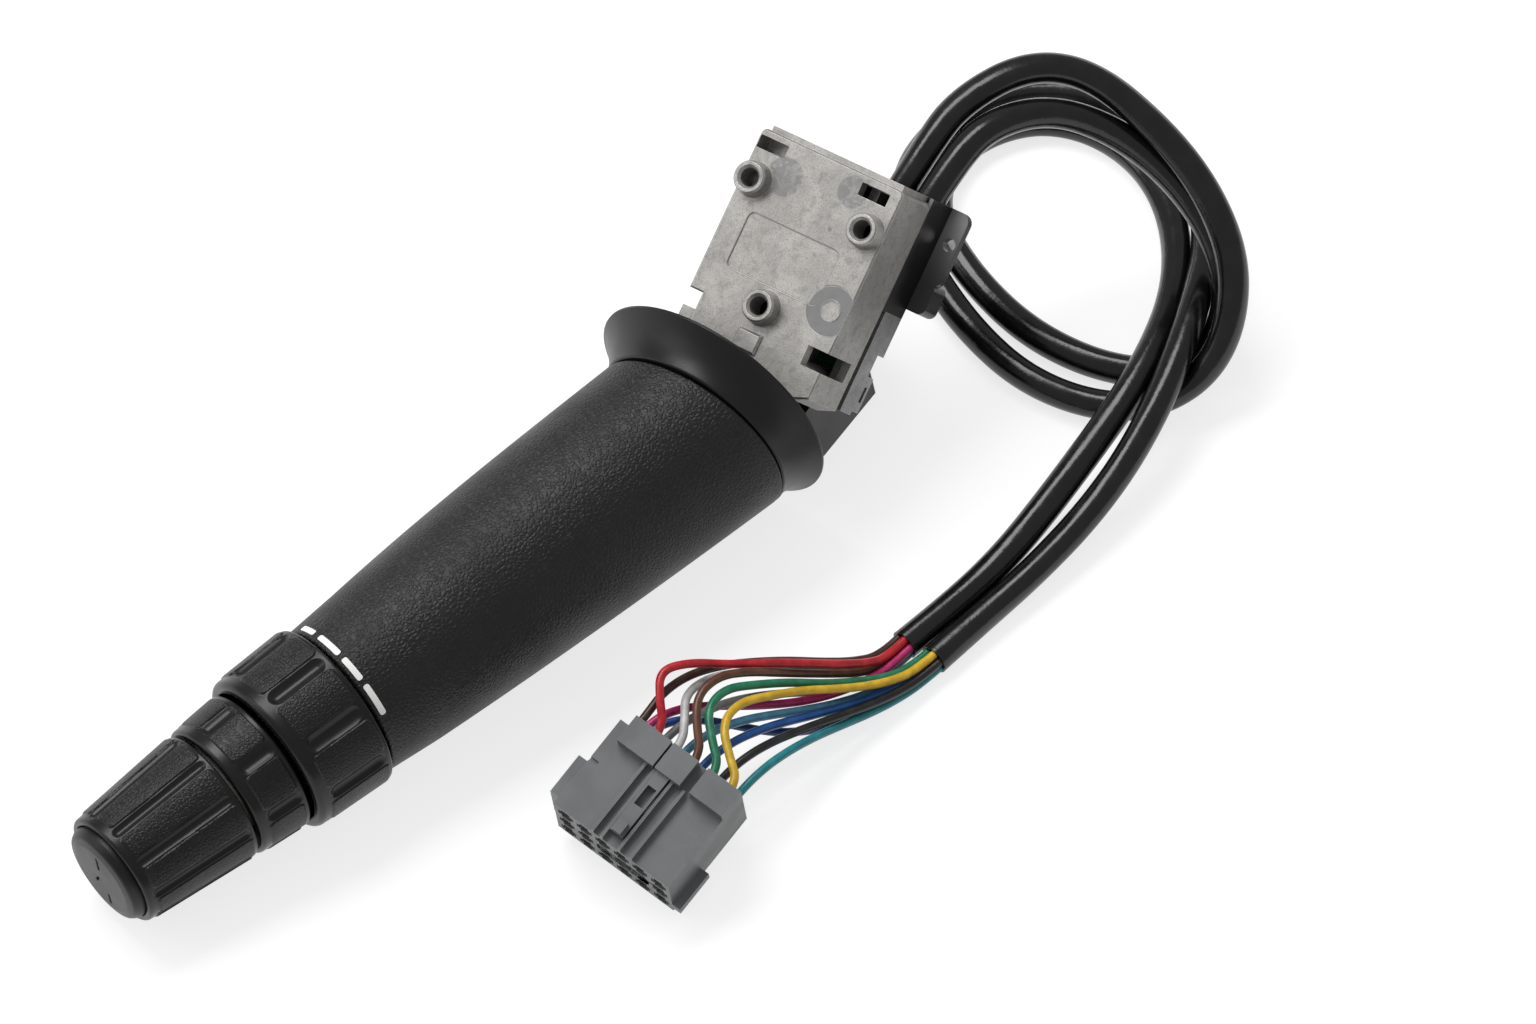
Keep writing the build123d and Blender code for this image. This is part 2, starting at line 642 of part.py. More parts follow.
def front_housing():
    """Die-cast front half: plate, walls, bosses and screw posts."""
    body = plate_shape(plate_outline(), -FRONT_DEPTH, 0)
    corners = body.edges().filter_by(Axis.Z).sort_by(Axis.Y)[-2:]
    body = fillet(corners, CORNER_ROUND)
    body = chamfer(body.faces().sort_by(Axis.Z)[-1].edges(), EDGE_CHAMFER)
    body += top_lip()
    body -= case_pocket()
    body += union([fixing_boss(centre) for centre in BOSS_CENTRES])
    cover_floor = COVER_SHALLOW - COVER_FLOOR
    body += screw_post(SCREW_BOX, cover_floor - BOARD_THICK)
    body += screw_post(SCREW_TOP, cover_floor)
    body += screw_post(SCREW_LOW, cover_floor)
    rib_right = WINDOW_CENTRES[1][0] - WINDOW_LENGTH / 2 + WINDOW_RIB_WIDTH
    body += block(rib_right - WINDOW_RIB_WIDTH, rib_right, WINDOW_CENTRES[1][1] - WINDOW_HEIGHT,
                  PLATE_UP - CASE_WALL / 2, -FRONT_DEPTH, -WINDOW_DEPTH)
    tab_left = -HALF_WIDTH + STEP_INSET - TAB_REACH
    tab_right = -HALF_WIDTH + STEP_INSET + TAB_OVERLAP
    body += block(tab_left, tab_right, TAB_LOW, TAB_HIGH, -TAB_DEPTH, -PLATE_THICK)
    lug = Pos(*LUG_CENTRE, 0) * Box(LUG_WIDTH, LUG_LENGTH, 2 * LUG_HEIGHT)
    body += chamfer(lug.faces().sort_by(Axis.Z)[-1].edges(), LUG_EDGE)
    for x, y in WINDOW_CENTRES:
        body -= Pos(x, y, -WINDOW_DEPTH / 2) * Box(WINDOW_LENGTH, WINDOW_HEIGHT, WINDOW_DEPTH + 1)
    label, mark = plate_relief()
    body = body - label - mark
    body -= block(NOTCH_LEFT, HALF_WIDTH + 1, NOTCH_LOW, NOTCH_HIGH, -NOTCH_DEPTH, 1)
    body -= block(HALF_WIDTH - CASE_WALL, HALF_WIDTH + 1, NOTCH_LOW, NOTCH_HIGH, -NOTCH_SIDE_DEPTH, 1)
    for centre in BOSS_CENTRES:
        body -= boss_thread(centre)
    for centre in (SCREW_BOX, SCREW_TOP, SCREW_LOW):
        body -= rod(SCREW_R, -CUT, -COVER_SHALLOW + SCREW_LENGTH, *centre)
    return body


def rear_cover():
    """Grey metal rear cover to the right of the opening for the pivot body."""
    tunnel_right = PIVOT.X + TUNNEL_X + TUNNEL_WALL_X + PLATE_CLEARANCE
    lap_x = HALF_WIDTH - CASE_WALL
    shell_front = -FRONT_DEPTH - COVER_LAP
    floor_front = -COVER_SHALLOW + COVER_FLOOR
    wall_low = COVER_LOW + CASE_WALL
    body = block(tunnel_right, HALF_WIDTH, COVER_LOW, COVER_JOIN, -COVER_SHALLOW, shell_front)
    body += block(lap_x, HALF_WIDTH, COVER_STEP, COVER_JOIN, -COVER_DEPTH, -COVER_SHALLOW)
    body += block(lap_x, HALF_WIDTH, LATCH_LOW, LATCH_HIGH, -COVER_DEPTH, -COVER_SHALLOW)
    body += block(lap_x - CASE_WALL, lap_x, wall_low, COVER_JOIN, shell_front, -FRONT_DEPTH + COVER_LAP)
    body -= block(tunnel_right + PLATE_CLEARANCE, lap_x - CASE_WALL, wall_low, COVER_JOIN + 1, floor_front, 0)
    slot_z = -(COVER_SHALLOW + COVER_DEPTH) / 2
    body -= block(lap_x - 1, HALF_WIDTH + 1, LATCH_LOW + LATCH_SLOT_MARGIN, LATCH_HIGH - LATCH_SLOT_MARGIN,
                  slot_z - LATCH_SLOT_WIDTH / 2, slot_z + LATCH_SLOT_WIDTH / 2)
    body -= rod(SCREW_R, -CUT, 0, *SCREW_LOW)
    return body - rod(POST_R + PLATE_CLEARANCE, floor_front, 0, *SCREW_LOW)


def top_cover():
    """Grey metal rear cover along the upper edge and the left wall."""
    tunnel_left = PIVOT.X - TUNNEL_X - TUNNEL_WALL_X - PLATE_CLEARANCE
    right = ENTRY_LEFT - PLATE_CLEARANCE
    floor_front = -COVER_SHALLOW + COVER_FLOOR
    body = block(-HALF_WIDTH, right, ENTRY_LOW, PLATE_UP, -COVER_SHALLOW, -FRONT_DEPTH)
    body -= block(-HALF_WIDTH + CASE_WALL, right + 1, ENTRY_LOW - 1, PLATE_UP - CASE_WALL, floor_front, 0)
    body += block(-HALF_WIDTH, tunnel_left, -STEP_DOWN, PLATE_UP, -COVER_SHALLOW, -FRONT_DEPTH)
    body -= rod(SCREW_R, -CUT, 0, *SCREW_TOP)
    return body - rod(POST_R + PLATE_CLEARANCE, floor_front, 0, *SCREW_TOP)


def cover_screws():
    """Three pan head screws, both covers and the cable box to the front housing."""
    screws = []
    for centre, seat in ((SCREW_BOX, COVER_DEPTH), (SCREW_TOP, COVER_SHALLOW), (SCREW_LOW, COVER_SHALLOW)):
        head = rod(SCREW_HEAD_R, -seat - SCREW_HEAD_HEIGHT, -seat, *centre)
        head = chamfer(head.edges().sort_by(Axis.Z)[0], SCREW_HEAD_EDGE)
        drive = Pos(*centre, -seat - SCREW_HEAD_HEIGHT + SCREW_DRIVE_DEPTH / 2)
        head -= drive * Box(SCREW_DRIVE_LENGTH, SCREW_DRIVE_WIDTH, SCREW_DRIVE_DEPTH)
        head -= drive * Box(SCREW_DRIVE_WIDTH, SCREW_DRIVE_LENGTH, SCREW_DRIVE_DEPTH)
        screws.append(head + rod(SCREW_R, -seat, -COVER_SHALLOW + SCREW_LENGTH, *centre))
    return screws


def circuit_board():
    """Board that lies on the rear cover's floor."""
    back = -COVER_SHALLOW + COVER_FLOOR
    board = block(BOARD_LEFT, BOARD_RIGHT, BOARD_LOW, BOARD_HIGH, back, back + BOARD_THICK)
    return board - rod(SCREW_R + PLATE_CLEARANCE, -CUT, 0, *SCREW_BOX)


def board_contacts():
    """Row of fixed contact blades on the board."""
    front = -COVER_SHALLOW + COVER_FLOOR + BOARD_THICK
    pitch = CONTACT_WIDTH + CONTACT_GAP
    start = BOARD_LOW + CONTACT_START
    blades = []
    for i in range(CONTACT_COUNT):
        y = start + (i + 1) * pitch - CONTACT_WIDTH
        blades.append(block(BOARD_LEFT + 1, BOARD_LEFT + 1 + CONTACT_LENGTH, y, y + CONTACT_WIDTH,
                            front, front + CONTACT_HEIGHT))
    return blades


def inner_leads():
    """Short leads from the sleeves' ends to the board."""
    z = -COVER_SHALLOW + COVER_FLOOR + BOARD_THICK + LEAD_R
    leads = []
    for x, side in zip(SLEEVE_OFFSETS, (1, -1)):
        for step in range(LEAD_COUNT):
            lead = Rot(-90, 0, 0) * rod(LEAD_R, SLEEVE_INNER_END - LEAD_LENGTH, SLEEVE_INNER_END)
            leads.append(Pos(x + side * (LEAD_SHIFT + step * LEAD_PITCH), 0, z) * lead)
    return leads


def cable_box():
    """Black moulded box behind the upper right corner, with its flange and lobe."""
    wall_right = HALF_WIDTH - BOX_BACK_WALL
    body = block(BOX_LEFT, HALF_WIDTH, COVER_JOIN, BOX_HIGH, -COVER_DEPTH, -FRONT_DEPTH)
    body += block(ENTRY_LEFT, HALF_WIDTH, ENTRY_LOW, BOX_HIGH, -COVER_DEPTH, -FRONT_DEPTH)
    body -= block(BOX_LEFT + BOX_WALL, wall_right, COVER_JOIN - 1, BOX_HIGH - BOX_WALL,
                  -COVER_DEPTH + BOX_BACK_WALL, 0)
    body -= block(ENTRY_LEFT + BOX_BACK_WALL, wall_right, ENTRY_LOW + ENTRY_LOW_WALL, BOX_HIGH - BOX_WALL,
                  -COVER_DEPTH + BOX_BACK_WALL, 0)
    flange = block(BOX_LEFT, HALF_WIDTH + FLANGE_REACH, FLANGE_LOW, BOX_HIGH,
                   -COVER_DEPTH - FLANGE_THICK, -COVER_DEPTH)
    flange = fillet(flange.edges().filter_by(Axis.Z).sort_by(Axis.X)[-2:], FLANGE_ROUND)
    lobe = block(HALF_WIDTH - LOBE_REACH, HALF_WIDTH + LOBE_REACH, LOBE_LOW, LOBE_HIGH,
                 -COVER_DEPTH - LOBE_DEPTH, -COVER_DEPTH)
    lobe = fillet(lobe.edges().filter_by(Axis.Z).sort_by(Axis.X)[-2:], LOBE_ROUND)
    post = rod(POST_R, -COVER_DEPTH, -COVER_SHALLOW + COVER_FLOOR, *SCREW_BOX)
    body = body + flange + lobe + post
    body -= Pos(*FLANGE_HOLE_CENTRE, -COVER_DEPTH) * Cylinder(FLANGE_HOLE_R, CUT)
    body -= rod(SCREW_R, -CUT, 0, *SCREW_BOX)
    body -= rod(SCREW_HEAD_R + PLATE_CLEARANCE, -CUT, -COVER_DEPTH, *SCREW_BOX)
    for x in SLEEVE_OFFSETS:
        bore = Rot(-90, 0, 0) * rod(SLEEVE_R + SLEEVE_HOLE_GAP, BOX_HIGH - GROMMET_LENGTH, BOX_HIGH + 1)
        body -= Pos(x, 0, -SLEEVE_DEPTH) * bore
    return body


def cable_grommet():
    """Rubber block that grips both sleeves inside the cable box."""
    top = BOX_HIGH - BOX_WALL
    body = block(ENTRY_LEFT + BOX_BACK_WALL, HALF_WIDTH - BOX_BACK_WALL, top - GROMMET_LENGTH, top,
                 -COVER_DEPTH + BOX_BACK_WALL, -FRONT_DEPTH)
    for x in SLEEVE_OFFSETS:
        body -= Pos(x, 0, -SLEEVE_DEPTH) * Rot(-90, 0, 0) * rod(SLEEVE_R + GROMMET_GAP, 0, CUT)
    return body


# Pivot pieces, in the lever frame

def pivot_body():
    """Black moulded body with the tunnel, the pin bearings and two feet."""
    outer_x = TUNNEL_X + TUNNEL_WALL_X
    outer_y = TUNNEL_Y + TUNNEL_WALL_Y
    body = block(-outer_x, outer_x, -outer_y, outer_y, -TUNNEL_BACK, TUNNEL_FRONT)
    body += block(-CHAMBER_X, CHAMBER_X, -CHAMBER_Y, -outer_y, -CHAMBER_BACK, TUNNEL_FRONT)
    for left in (-CHAMBER_X, CHAMBER_X - FOOT_WIDTH):
        body += block(left, left + FOOT_WIDTH, -FOOT_REACH, -CHAMBER_Y + CHAMBER_WALL, -FOOT_BACK, FOOT_FRONT)
    body -= block(-CHAMBER_X + CHAMBER_WALL, CHAMBER_X - CHAMBER_WALL, -CHAMBER_Y + CHAMBER_WALL,
                  -outer_y - CHAMBER_WALL / 2, -CHAMBER_BACK - 1, TUNNEL_FRONT - CHAMBER_WALL)
    body -= block(-TUNNEL_X, TUNNEL_X, -TUNNEL_Y, TUNNEL_Y, -TUNNEL_BACK - 1, TUNNEL_FRONT + 1)
    body -= Rot(90, 0, 0) * Cylinder(PIN_R + PIN_CLEARANCE, CUT)
    body = LEVER * body
    ceiling = -PLATE_THICK - PLATE_CLEARANCE
    body -= block(-CUT, CUT, -CUT, CUT, ceiling, CUT)
    tab_right = -HALF_WIDTH + STEP_INSET + TAB_OVERLAP + PLATE_CLEARANCE
    body -= block(-CUT, tab_right, TAB_LOW - 1, TAB_HIGH + PLATE_CLEARANCE, -TAB_DEPTH - PLATE_CLEARANCE, 0)
    return above_floor(body)


def gimbal_yoke():
    """Cross frame between the pivot body and the lever root."""
    body = block(-YOKE_X, YOKE_X, -YOKE_Y, YOKE_Y, -YOKE_HALF, YOKE_HALF)
    body -= block(-YOKE_WINDOW_X, YOKE_WINDOW_X, -YOKE_WINDOW_Y, YOKE_WINDOW_Y, -CUT, CUT)
    body -= Rot(90, 0, 0) * Cylinder(PIN_R, CUT)
    body -= Rot(0, 90, 0) * Cylinder(PIN_R + PIN_CLEARANCE, CUT)
    return LEVER * body


def gimbal_pins():
    """Two steel pins of the up and down tilt."""
    pin = Rot(90, 0, 0) * rod(PIN_R, GIMBAL_PIN_IN, GIMBAL_PIN_OUT)
    return [LEVER * pin, LEVER * (Rot(180, 0, 0) * pin)]


def lever_pins():
    """Two steel pins of the push and pull tilt."""
    pin = Rot(0, 90, 0) * rod(PIN_R, LEVER_PIN_IN, LEVER_PIN_OUT)
    return [LEVER * pin, LEVER * (Rot(0, 180, 0) * pin)]


def yoke_wiper():
    """Contact leaf on the side of the yoke."""
    return LEVER * block(-YOKE_X - WIPER_THICK, -YOKE_X, -WIPER_HALF_Y, WIPER_HALF_Y, -WIPER_HALF_Z,
                         WIPER_HALF_Z)


def wiper_track():
    """Fixed contact strip on the tunnel's wall."""
    return LEVER * block(-TUNNEL_X, -TUNNEL_X + TRACK_THICK, -TRACK_HALF_Y, TRACK_HALF_Y, -TRACK_HALF_Z,
                         TRACK_HALF_Z)


def lever_root():
    """Lever base: pivot block, tail, neck and the socket that holds the tube."""
    body = block(-ROOT_X, ROOT_X, -ROOT_Y, ROOT_Y, -ROOT_BACK, ROOT_FRONT)
    body += rod(NECK_R, ROOT_FRONT - NECK_LAP, NECK_STEP)
    body += rod(NECK_WIDE_R, NECK_STEP, PIVOT_TO_BEND)
    body += rod(TAIL_R, -TAIL_END, -ROOT_BACK + 1)
    body -= Rot(0, 90, 0) * rod(PIN_R, LEVER_PIN_IN, CUT)
    body -= Rot(0, -90, 0) * rod(PIN_R, LEVER_PIN_IN, CUT)
    body -= rod(PLUNGER_R + PLUNGER_BORE_GAP, -CUT, -PLUNGER_BORE_END)
    socket = rod(SOCKET_R, -SOCKET_BACK, SOCKET_FRONT)
    body = LEVER * body + STALK * socket
    return body - STALK * rod(TUBE_R, TUBE_START, CUT)


def detent_plunger():
    """Sprung pin with a round nose."""
    tip = DETENT_R - DETENT_GAP - PLUNGER_R
    return LEVER * (rod(PLUNGER_R, -tip, -PLUNGER_BACK) + Pos(0, 0, -tip) * Sphere(PLUNGER_R))


def detent_spring():
    """Coil behind the plunger."""
    mean = PLUNGER_R - SPRING_WIRE_R - PLUNGER_BORE_GAP
    return LEVER * spring(mean, SPRING_WIRE_R, -PLUNGER_BACK, -PLUNGER_BORE_END, SPRING_TURNS)


def detent_block():
    """Dished block at the end of the tunnel, with a groove for each lever position."""
    body = block(-TUNNEL_X, TUNNEL_X, -TUNNEL_Y, TUNNEL_Y, -TUNNEL_BACK, -DETENT_FRONT)
    body -= Sphere(DETENT_R)
    for angle in DETENT_ANGLES:
        groove = Pos(0, 0, -DETENT_R - DETENT_GROOVE_SET + DETENT_GROOVE_R) * Rot(90, 0, 0)
        body -= Rot(0, angle, 0) * groove * Cylinder(DETENT_GROOVE_R, TUNNEL_Y)
    return LEVER * body


def collar_solid(inset, z0, z1):
    """Flared body of the collar, drawn in by a wall."""
    sections = (
        (z0, COLLAR_RIM_R, 0.0),
        (RIM_TO_PIVOT + COLLAR_LIP, COLLAR_RIM_R, 0.0),
        (RIM_TO_PIVOT + COLLAR_MID, COLLAR_MID_R, COLLAR_MID_SHIFT),
        (z1, COLLAR_NECK_R, COLLAR_NECK_SHIFT),
    )
    circles = [Pos(shift, 0, z) * Circle(radius - inset) for z, radius, shift in sections]
    return loft(circles[:2], ruled=True) + loft(circles[1:])


def collar():
    """Flared collar that hides the gap between stalk and housing."""
    back = RIM_TO_PIVOT
    front = RIM_TO_PIVOT + COLLAR_LENGTH
    hollow = collar_solid(COLLAR_WALL, back - 1, front)
    hollow -= block(-CUT, CUT, -CUT, CUT, front - COLLAR_WEB, CUT)
    return LEVER * (collar_solid(0, back, front) - hollow - rod(NECK_WIDE_R, 0, CUT))


# Stalk pieces, in the stalk frame

def handle_solid(inset):
    """Curved grip with a straight cone at its front, drawn in by a wall."""
    cone_start = HANDLE_FRONT - HANDLE_CONE_LENGTH
    sections = (
        (HANDLE_START, HANDLE_END_R, HANDLE_END_SHIFT),
        *HANDLE_SWELL,
        (cone_start, HANDLE_CONE_R, 0.0),
        (HANDLE_FRONT, HANDLE_FRONT_R, 0.0),
    )
    circles = [Pos(shift, 0, z) * Circle(radius - inset) for z, radius, shift in sections]
    return loft(circles[:-1]) + loft(circles[-2:], ruled=True)


def handle_shell():
    """Hollow tapered grip, cut off square to the lever axis at the collar."""
    outer = handle_solid(0)
    outer = chamfer(outer.edges().sort_by(Axis.Z)[-1], EDGE_CHAMFER)
    inner = handle_solid(HANDLE_WALL) - block(-CUT, CUT, -CUT, CUT, HANDLE_FRONT - HANDLE_WEB, HANDLE_FRONT)
    web = handle_solid(HANDLE_WALL / 2)
    web &= pipe(CUT, SOCKET_R, HANDLE_WEB_AT, HANDLE_WEB_AT + HANDLE_WEB)
    body = outer - inner + web
    body -= rod(BUSH_R, HANDLE_WEB_AT + HANDLE_WEB + 1, CUT * 2)
    for span in MARK_SPANS:
        body -= mark_dash(span, MARK_CUT)
    body = STALK * body
    cut_height = RIM_TO_PIVOT + COLLAR_LENGTH + HANDLE_GAP
    return body - LEVER * block(-CUT, CUT, -CUT, CUT, -CUT, cut_height)


def cone_radius(z):
    """Outer radius of the grip's straight front part at a station along the stalk."""
    slope = (HANDLE_FRONT_R - HANDLE_CONE_R) / HANDLE_CONE_LENGTH
    return HANDLE_FRONT_R + slope * (z - HANDLE_FRONT)


def mark_dash(span, proud):
    """One dash around the grip, between two angles about the stalk."""
    radius = cone_radius(MARK_AT)
    ring = pipe(radius + proud, radius - MARK_SINK, MARK_AT - MARK_WIDTH / 2, MARK_AT + MARK_WIDTH / 2)
    start, end = (math.radians(angle) for angle in span)
    reach = radius * 2
    wedge = plate_shape(((0, 0), (reach * math.cos(start), reach * math.sin(start)),
                         (reach * math.cos(end), reach * math.sin(end))),
                        MARK_AT - MARK_WIDTH, MARK_AT + MARK_WIDTH)
    return ring & wedge


def white_marks():
    """Four printed dashes beside the first ring."""
    return [STALK * mark_dash(span, MARK_PROUD) for span in MARK_SPANS]


def lever_tube():
    """Steel tube that carries the rings, the knob and the button."""
    return STALK * pipe(TUBE_R, TUBE_BORE, TUBE_START, TUBE_END)


def tube_bush():
    """Bush between the tube and the handle's front wall."""
    end = HANDLE_FRONT + DISC_GAP
    return STALK * pipe(BUSH_R, TUBE_R, end - BUSH_LENGTH, end)


def stalk_cable():
    """Lead bundle inside the tube, lying against its wall."""
    offset = TUBE_BORE - CABLE_R - PLATE_CLEARANCE
    return STALK * rod(CABLE_R, CABLE_START, CABLE_END, 0, -offset)


def grip_pocket(z0, r0, z1, r1, depth, width_r):
    """Rounded finger recess along a tapered ring, at angle zero."""
    start = Vector(r0 + width_r - depth, 0, z0)
    end = Vector(r1 + width_r - depth, 0, z1)
    along = end - start
    bar = Location(Plane(origin=(start + end) * 0.5, z_dir=along)) * Cylinder(width_r, along.length)
    return bar + Pos(start) * Sphere(width_r) + Pos(end) * Sphere(width_r)


def cut_grips(body, back, back_r, front, front_r, count):
    """Ring with its finger recesses cut all round."""
    slope = (front_r - back_r) / (front - back)
    z0 = back + GRIP_MARGIN
    z1 = front - GRIP_MARGIN
    pocket = grip_pocket(z0, back_r + slope * (z0 - back), z1, back_r + slope * (z1 - back), GRIP_DEPTH,
                         GRIP_RADIUS)
    for i in range(count):
        body -= Rot(0, 0, 360 * i / count) * pocket
    return body


def ring_shell(back, back_r, front, front_r, web, hub_start, hub_end):
    """Hollow tapered ring with a web and a hub that runs on the tube."""
    outer = turned(((0, back), (back_r - RING_EDGE, back), (back_r, back + RING_EDGE),
                    (front_r, front - RING_EDGE), (front_r - RING_EDGE, front), (0, front)))
    hollow = turned(((0, back - 1), (back_r - RING_WALL, back - 1), (front_r - RING_WALL, front + 1),
                     (0, front + 1)))
    body = outer - hollow
    web_r = min(back_r, front_r) - RING_WALL / 2
    body += rod(web_r, web, web + WEB_THICK)
    body += rod(HUB_R, hub_start, hub_end)
    return body - rod(TUBE_R + HUB_CLEARANCE, back - CUT, front + CUT)


def track_1_start():
    return HANDLE_FRONT + DISC_GAP


def track_2_start():
    return (RING_1_FRONT + RING_2_BACK - TRACK_DISC_THICK) / 2


def track_3_start():
    return KNOB_BACK - DISC_GAP - TRACK_DISC_THICK


def ring_1():
    """Large ring next to the grip."""
    start = track_1_start() + TRACK_DISC_THICK + DISC_GAP
    body = ring_shell(RING_1_BACK, RING_1_BACK_R, RING_1_FRONT, RING_1_FRONT_R, RING_1_WEB, start,
                      track_2_start() - DISC_GAP)
    return STALK * cut_grips(body, RING_1_BACK, RING_1_BACK_R, RING_1_FRONT, RING_1_FRONT_R, RING_1_GRIPS)


def ring_2():
    """Smaller ring in the middle."""
    start = track_2_start() + TRACK_DISC_THICK + DISC_GAP
    body = ring_shell(RING_2_BACK, RING_2_BACK_R, RING_2_FRONT, RING_2_FRONT_R, RING_2_WEB, start,
                      track_3_start() - DISC_GAP)
    return STALK * cut_grips(body, RING_2_BACK, RING_2_BACK_R, RING_2_FRONT, RING_2_FRONT_R, RING_2_GRIPS)


def end_knob():
    """Tapered knob around the button."""
    outer = turned(((0, KNOB_BACK), (KNOB_BACK_R - RING_EDGE, KNOB_BACK), (KNOB_BACK_R, KNOB_BACK + RING_EDGE),
                    (KNOB_FRONT_R, KNOB_FRONT - RING_EDGE), (KNOB_FRONT_R - RING_EDGE / 2, KNOB_FRONT),
                    (0, KNOB_FRONT)))
    body = outer - rod(KNOB_BACK_R - RING_WALL, KNOB_BACK - 1, KNOB_WEB)
    body -= rod(BUTTON_R + BUTTON_GAP, KNOB_WEB + WEB_THICK, KNOB_FRONT + 1)
    body += rod(HUB_R, KNOB_BACK, KNOB_HUB_END)
    body -= rod(TUBE_R + HUB_CLEARANCE, KNOB_BACK - CUT, KNOB_FRONT + CUT)
    return STALK * cut_grips(body, KNOB_BACK, KNOB_BACK_R, KNOB_FRONT, KNOB_FRONT_R, KNOB_GRIPS)


def track_disc(start):
    """Fixed contact disc on the tube."""
    return STALK * pipe(TRACK_DISC_R, TUBE_R, start, start + TRACK_DISC_THICK)


def rotary_wiper(track_start, web):
    """Contact ring on a web with fingers that reach the track."""
    ring_back = web - WIPER_THICK
    ring = pipe(WIPER_OUTER_R, WIPER_INNER_R, ring_back, web)
    middle = (WIPER_INNER_R + WIPER_OUTER_R) / 2
    reach = track_start + TRACK_DISC_THICK + DISC_GAP
    for i in range(FINGER_COUNT):
        ring += Rot(0, 0, 360 * i / FINGER_COUNT) * rod(FINGER_R, reach, ring_back, middle)
    return STALK * ring


def retaining_ring():
    """Open clip that keeps the knob on the tube."""
    ring = pipe(CLIP_OUTER_R, TUBE_R, CLIP_AT, CLIP_AT + CLIP_THICK)
    gap = CLIP_OPENING / 2
    return STALK * (ring - block(0, CUT, -gap, gap, CLIP_AT - 1, CLIP_AT + CLIP_THICK + 1))


def end_button():
    """Push button with a stem that slides in the tube."""
    disc_back = BUTTON_FACE - BUTTON_DISC
    dome_r = BUTTON_R - BUTTON_DOME
    body = turned(((0, disc_back), (BUTTON_R, disc_back), (BUTTON_R, BUTTON_FACE - BUTTON_DOME),
                   (dome_r, BUTTON_FACE - BUTTON_EDGE), (BUTTON_FLAT_R, BUTTON_FACE), (0, BUTTON_FACE)))
    body += pipe(BUTTON_R, BUTTON_R - BUTTON_SKIRT_WALL, BUTTON_FACE - BUTTON_SKIRT_LENGTH, disc_back)
    body += rod(TUBE_BORE - BUTTON_STEM_GAP, BUTTON_STEM_END, disc_back + 1)
    for side in (-1, 1):
        slot = Pos(0, side * BUTTON_SLOT_OFFSET, BUTTON_FACE)
        body -= slot * Box(BUTTON_SLOT_WIDTH, BUTTON_SLOT_LENGTH, 2 * BUTTON_SLOT_DEPTH)
    return STALK * body


def button_spring():
    """Return spring of the button, drawn at its pressed length."""
    end = BUTTON_FACE - BUTTON_DISC - BUTTON_TRAVEL - BUTTON_STEM_GAP
    return STALK * spring(BUTTON_SPRING_R, BUTTON_SPRING_WIRE_R, TUBE_END, end, BUTTON_SPRING_TURNS)


# Connector, in its own frame: x across, y towards the wires, z up

def cavity_centre(column, row):
    """Middle of a cavity in the mating face."""
    return FIRST_COLUMN + column * PITCH_X, FIRST_ROW + row * PITCH_Z


def along_y(shape):
    """Turn a shape drawn along z so that it runs along y."""
    return Rot(-90, 0, 0) * shape


def connector_housing():
    """Grey housing with plus shaped cavities, rails, latch arm and rear blocks."""
    body = block(0, CONNECTOR_WIDTH, 0, CONNECTOR_DEPTH - SLAB_END, 0, CONNECTOR_HEIGHT)
    for left, right in BLOCKS:
        body += block(left, right, DECK_START, CONNECTOR_DEPTH, 0, CONNECTOR_HEIGHT + BLOCK_HEIGHT)
    body += block(BLOCKS[0][0], BLOCKS[-1][1], DECK_START, CONNECTOR_DEPTH, 0, CONNECTOR_HEIGHT)
    for x in RAIL_XS:
        body += block(x, x + RAIL_WIDTH, 0.0, DECK_START, CONNECTOR_HEIGHT - 1, CONNECTOR_HEIGHT + RAIL_HEIGHT)
    latch_low = CONNECTOR_HEIGHT + LATCH_RISE
    latch = block(LATCH_LEFT, LATCH_RIGHT, LATCH_FRONT, DECK_START, latch_low, latch_low + LATCH_THICK)
    latch += block(LATCH_LEFT + LATCH_WINDOW_MARGIN, LATCH_RIGHT - LATCH_WINDOW_MARGIN, LATCH_FRONT,
                   LATCH_FRONT + HOOK_LENGTH, latch_low, latch_low + LATCH_THICK + HOOK_HEIGHT)
    latch -= block(LATCH_LEFT + LATCH_WINDOW_MARGIN, LATCH_RIGHT - LATCH_WINDOW_MARGIN, *LATCH_WINDOW, 0, CUT)
    body += latch
    body += block(CONNECTOR_WIDTH, CONNECTOR_WIDTH + EAR_REACH, 0, EAR_LENGTH, EAR_LOW, EAR_HIGH)
    for left, right in SKIDS:
        body += block(left, right, EAR_LOW, DECK_START, -SKID_HEIGHT, 0)
    body -= block(-1, SLAB_END, SLAB_NOTCH, SLAB_NOTCH + 1, CONNECTOR_HEIGHT - SLAB_NOTCH_DEPTH, CUT)
    for row in range(ROWS):
        for column in range(COLUMNS):
            x, z = cavity_centre(column, row)
            body -= Pos(x, CAVITY_DEPTH / 2, z) * Box(CAVITY_WIDE, CAVITY_DEPTH, CAVITY_NARROW)
            body -= Pos(x, CAVITY_DEPTH / 2, z) * Box(CAVITY_NARROW, CAVITY_DEPTH, CAVITY_TALL)
    for column, row in FILLED:
        x, z = cavity_centre(column, row)
        body -= Pos(x, 0, z) * along_y(rod(WIRE_HOLE_R, CAVITY_DEPTH - 1, CUT))
    return body


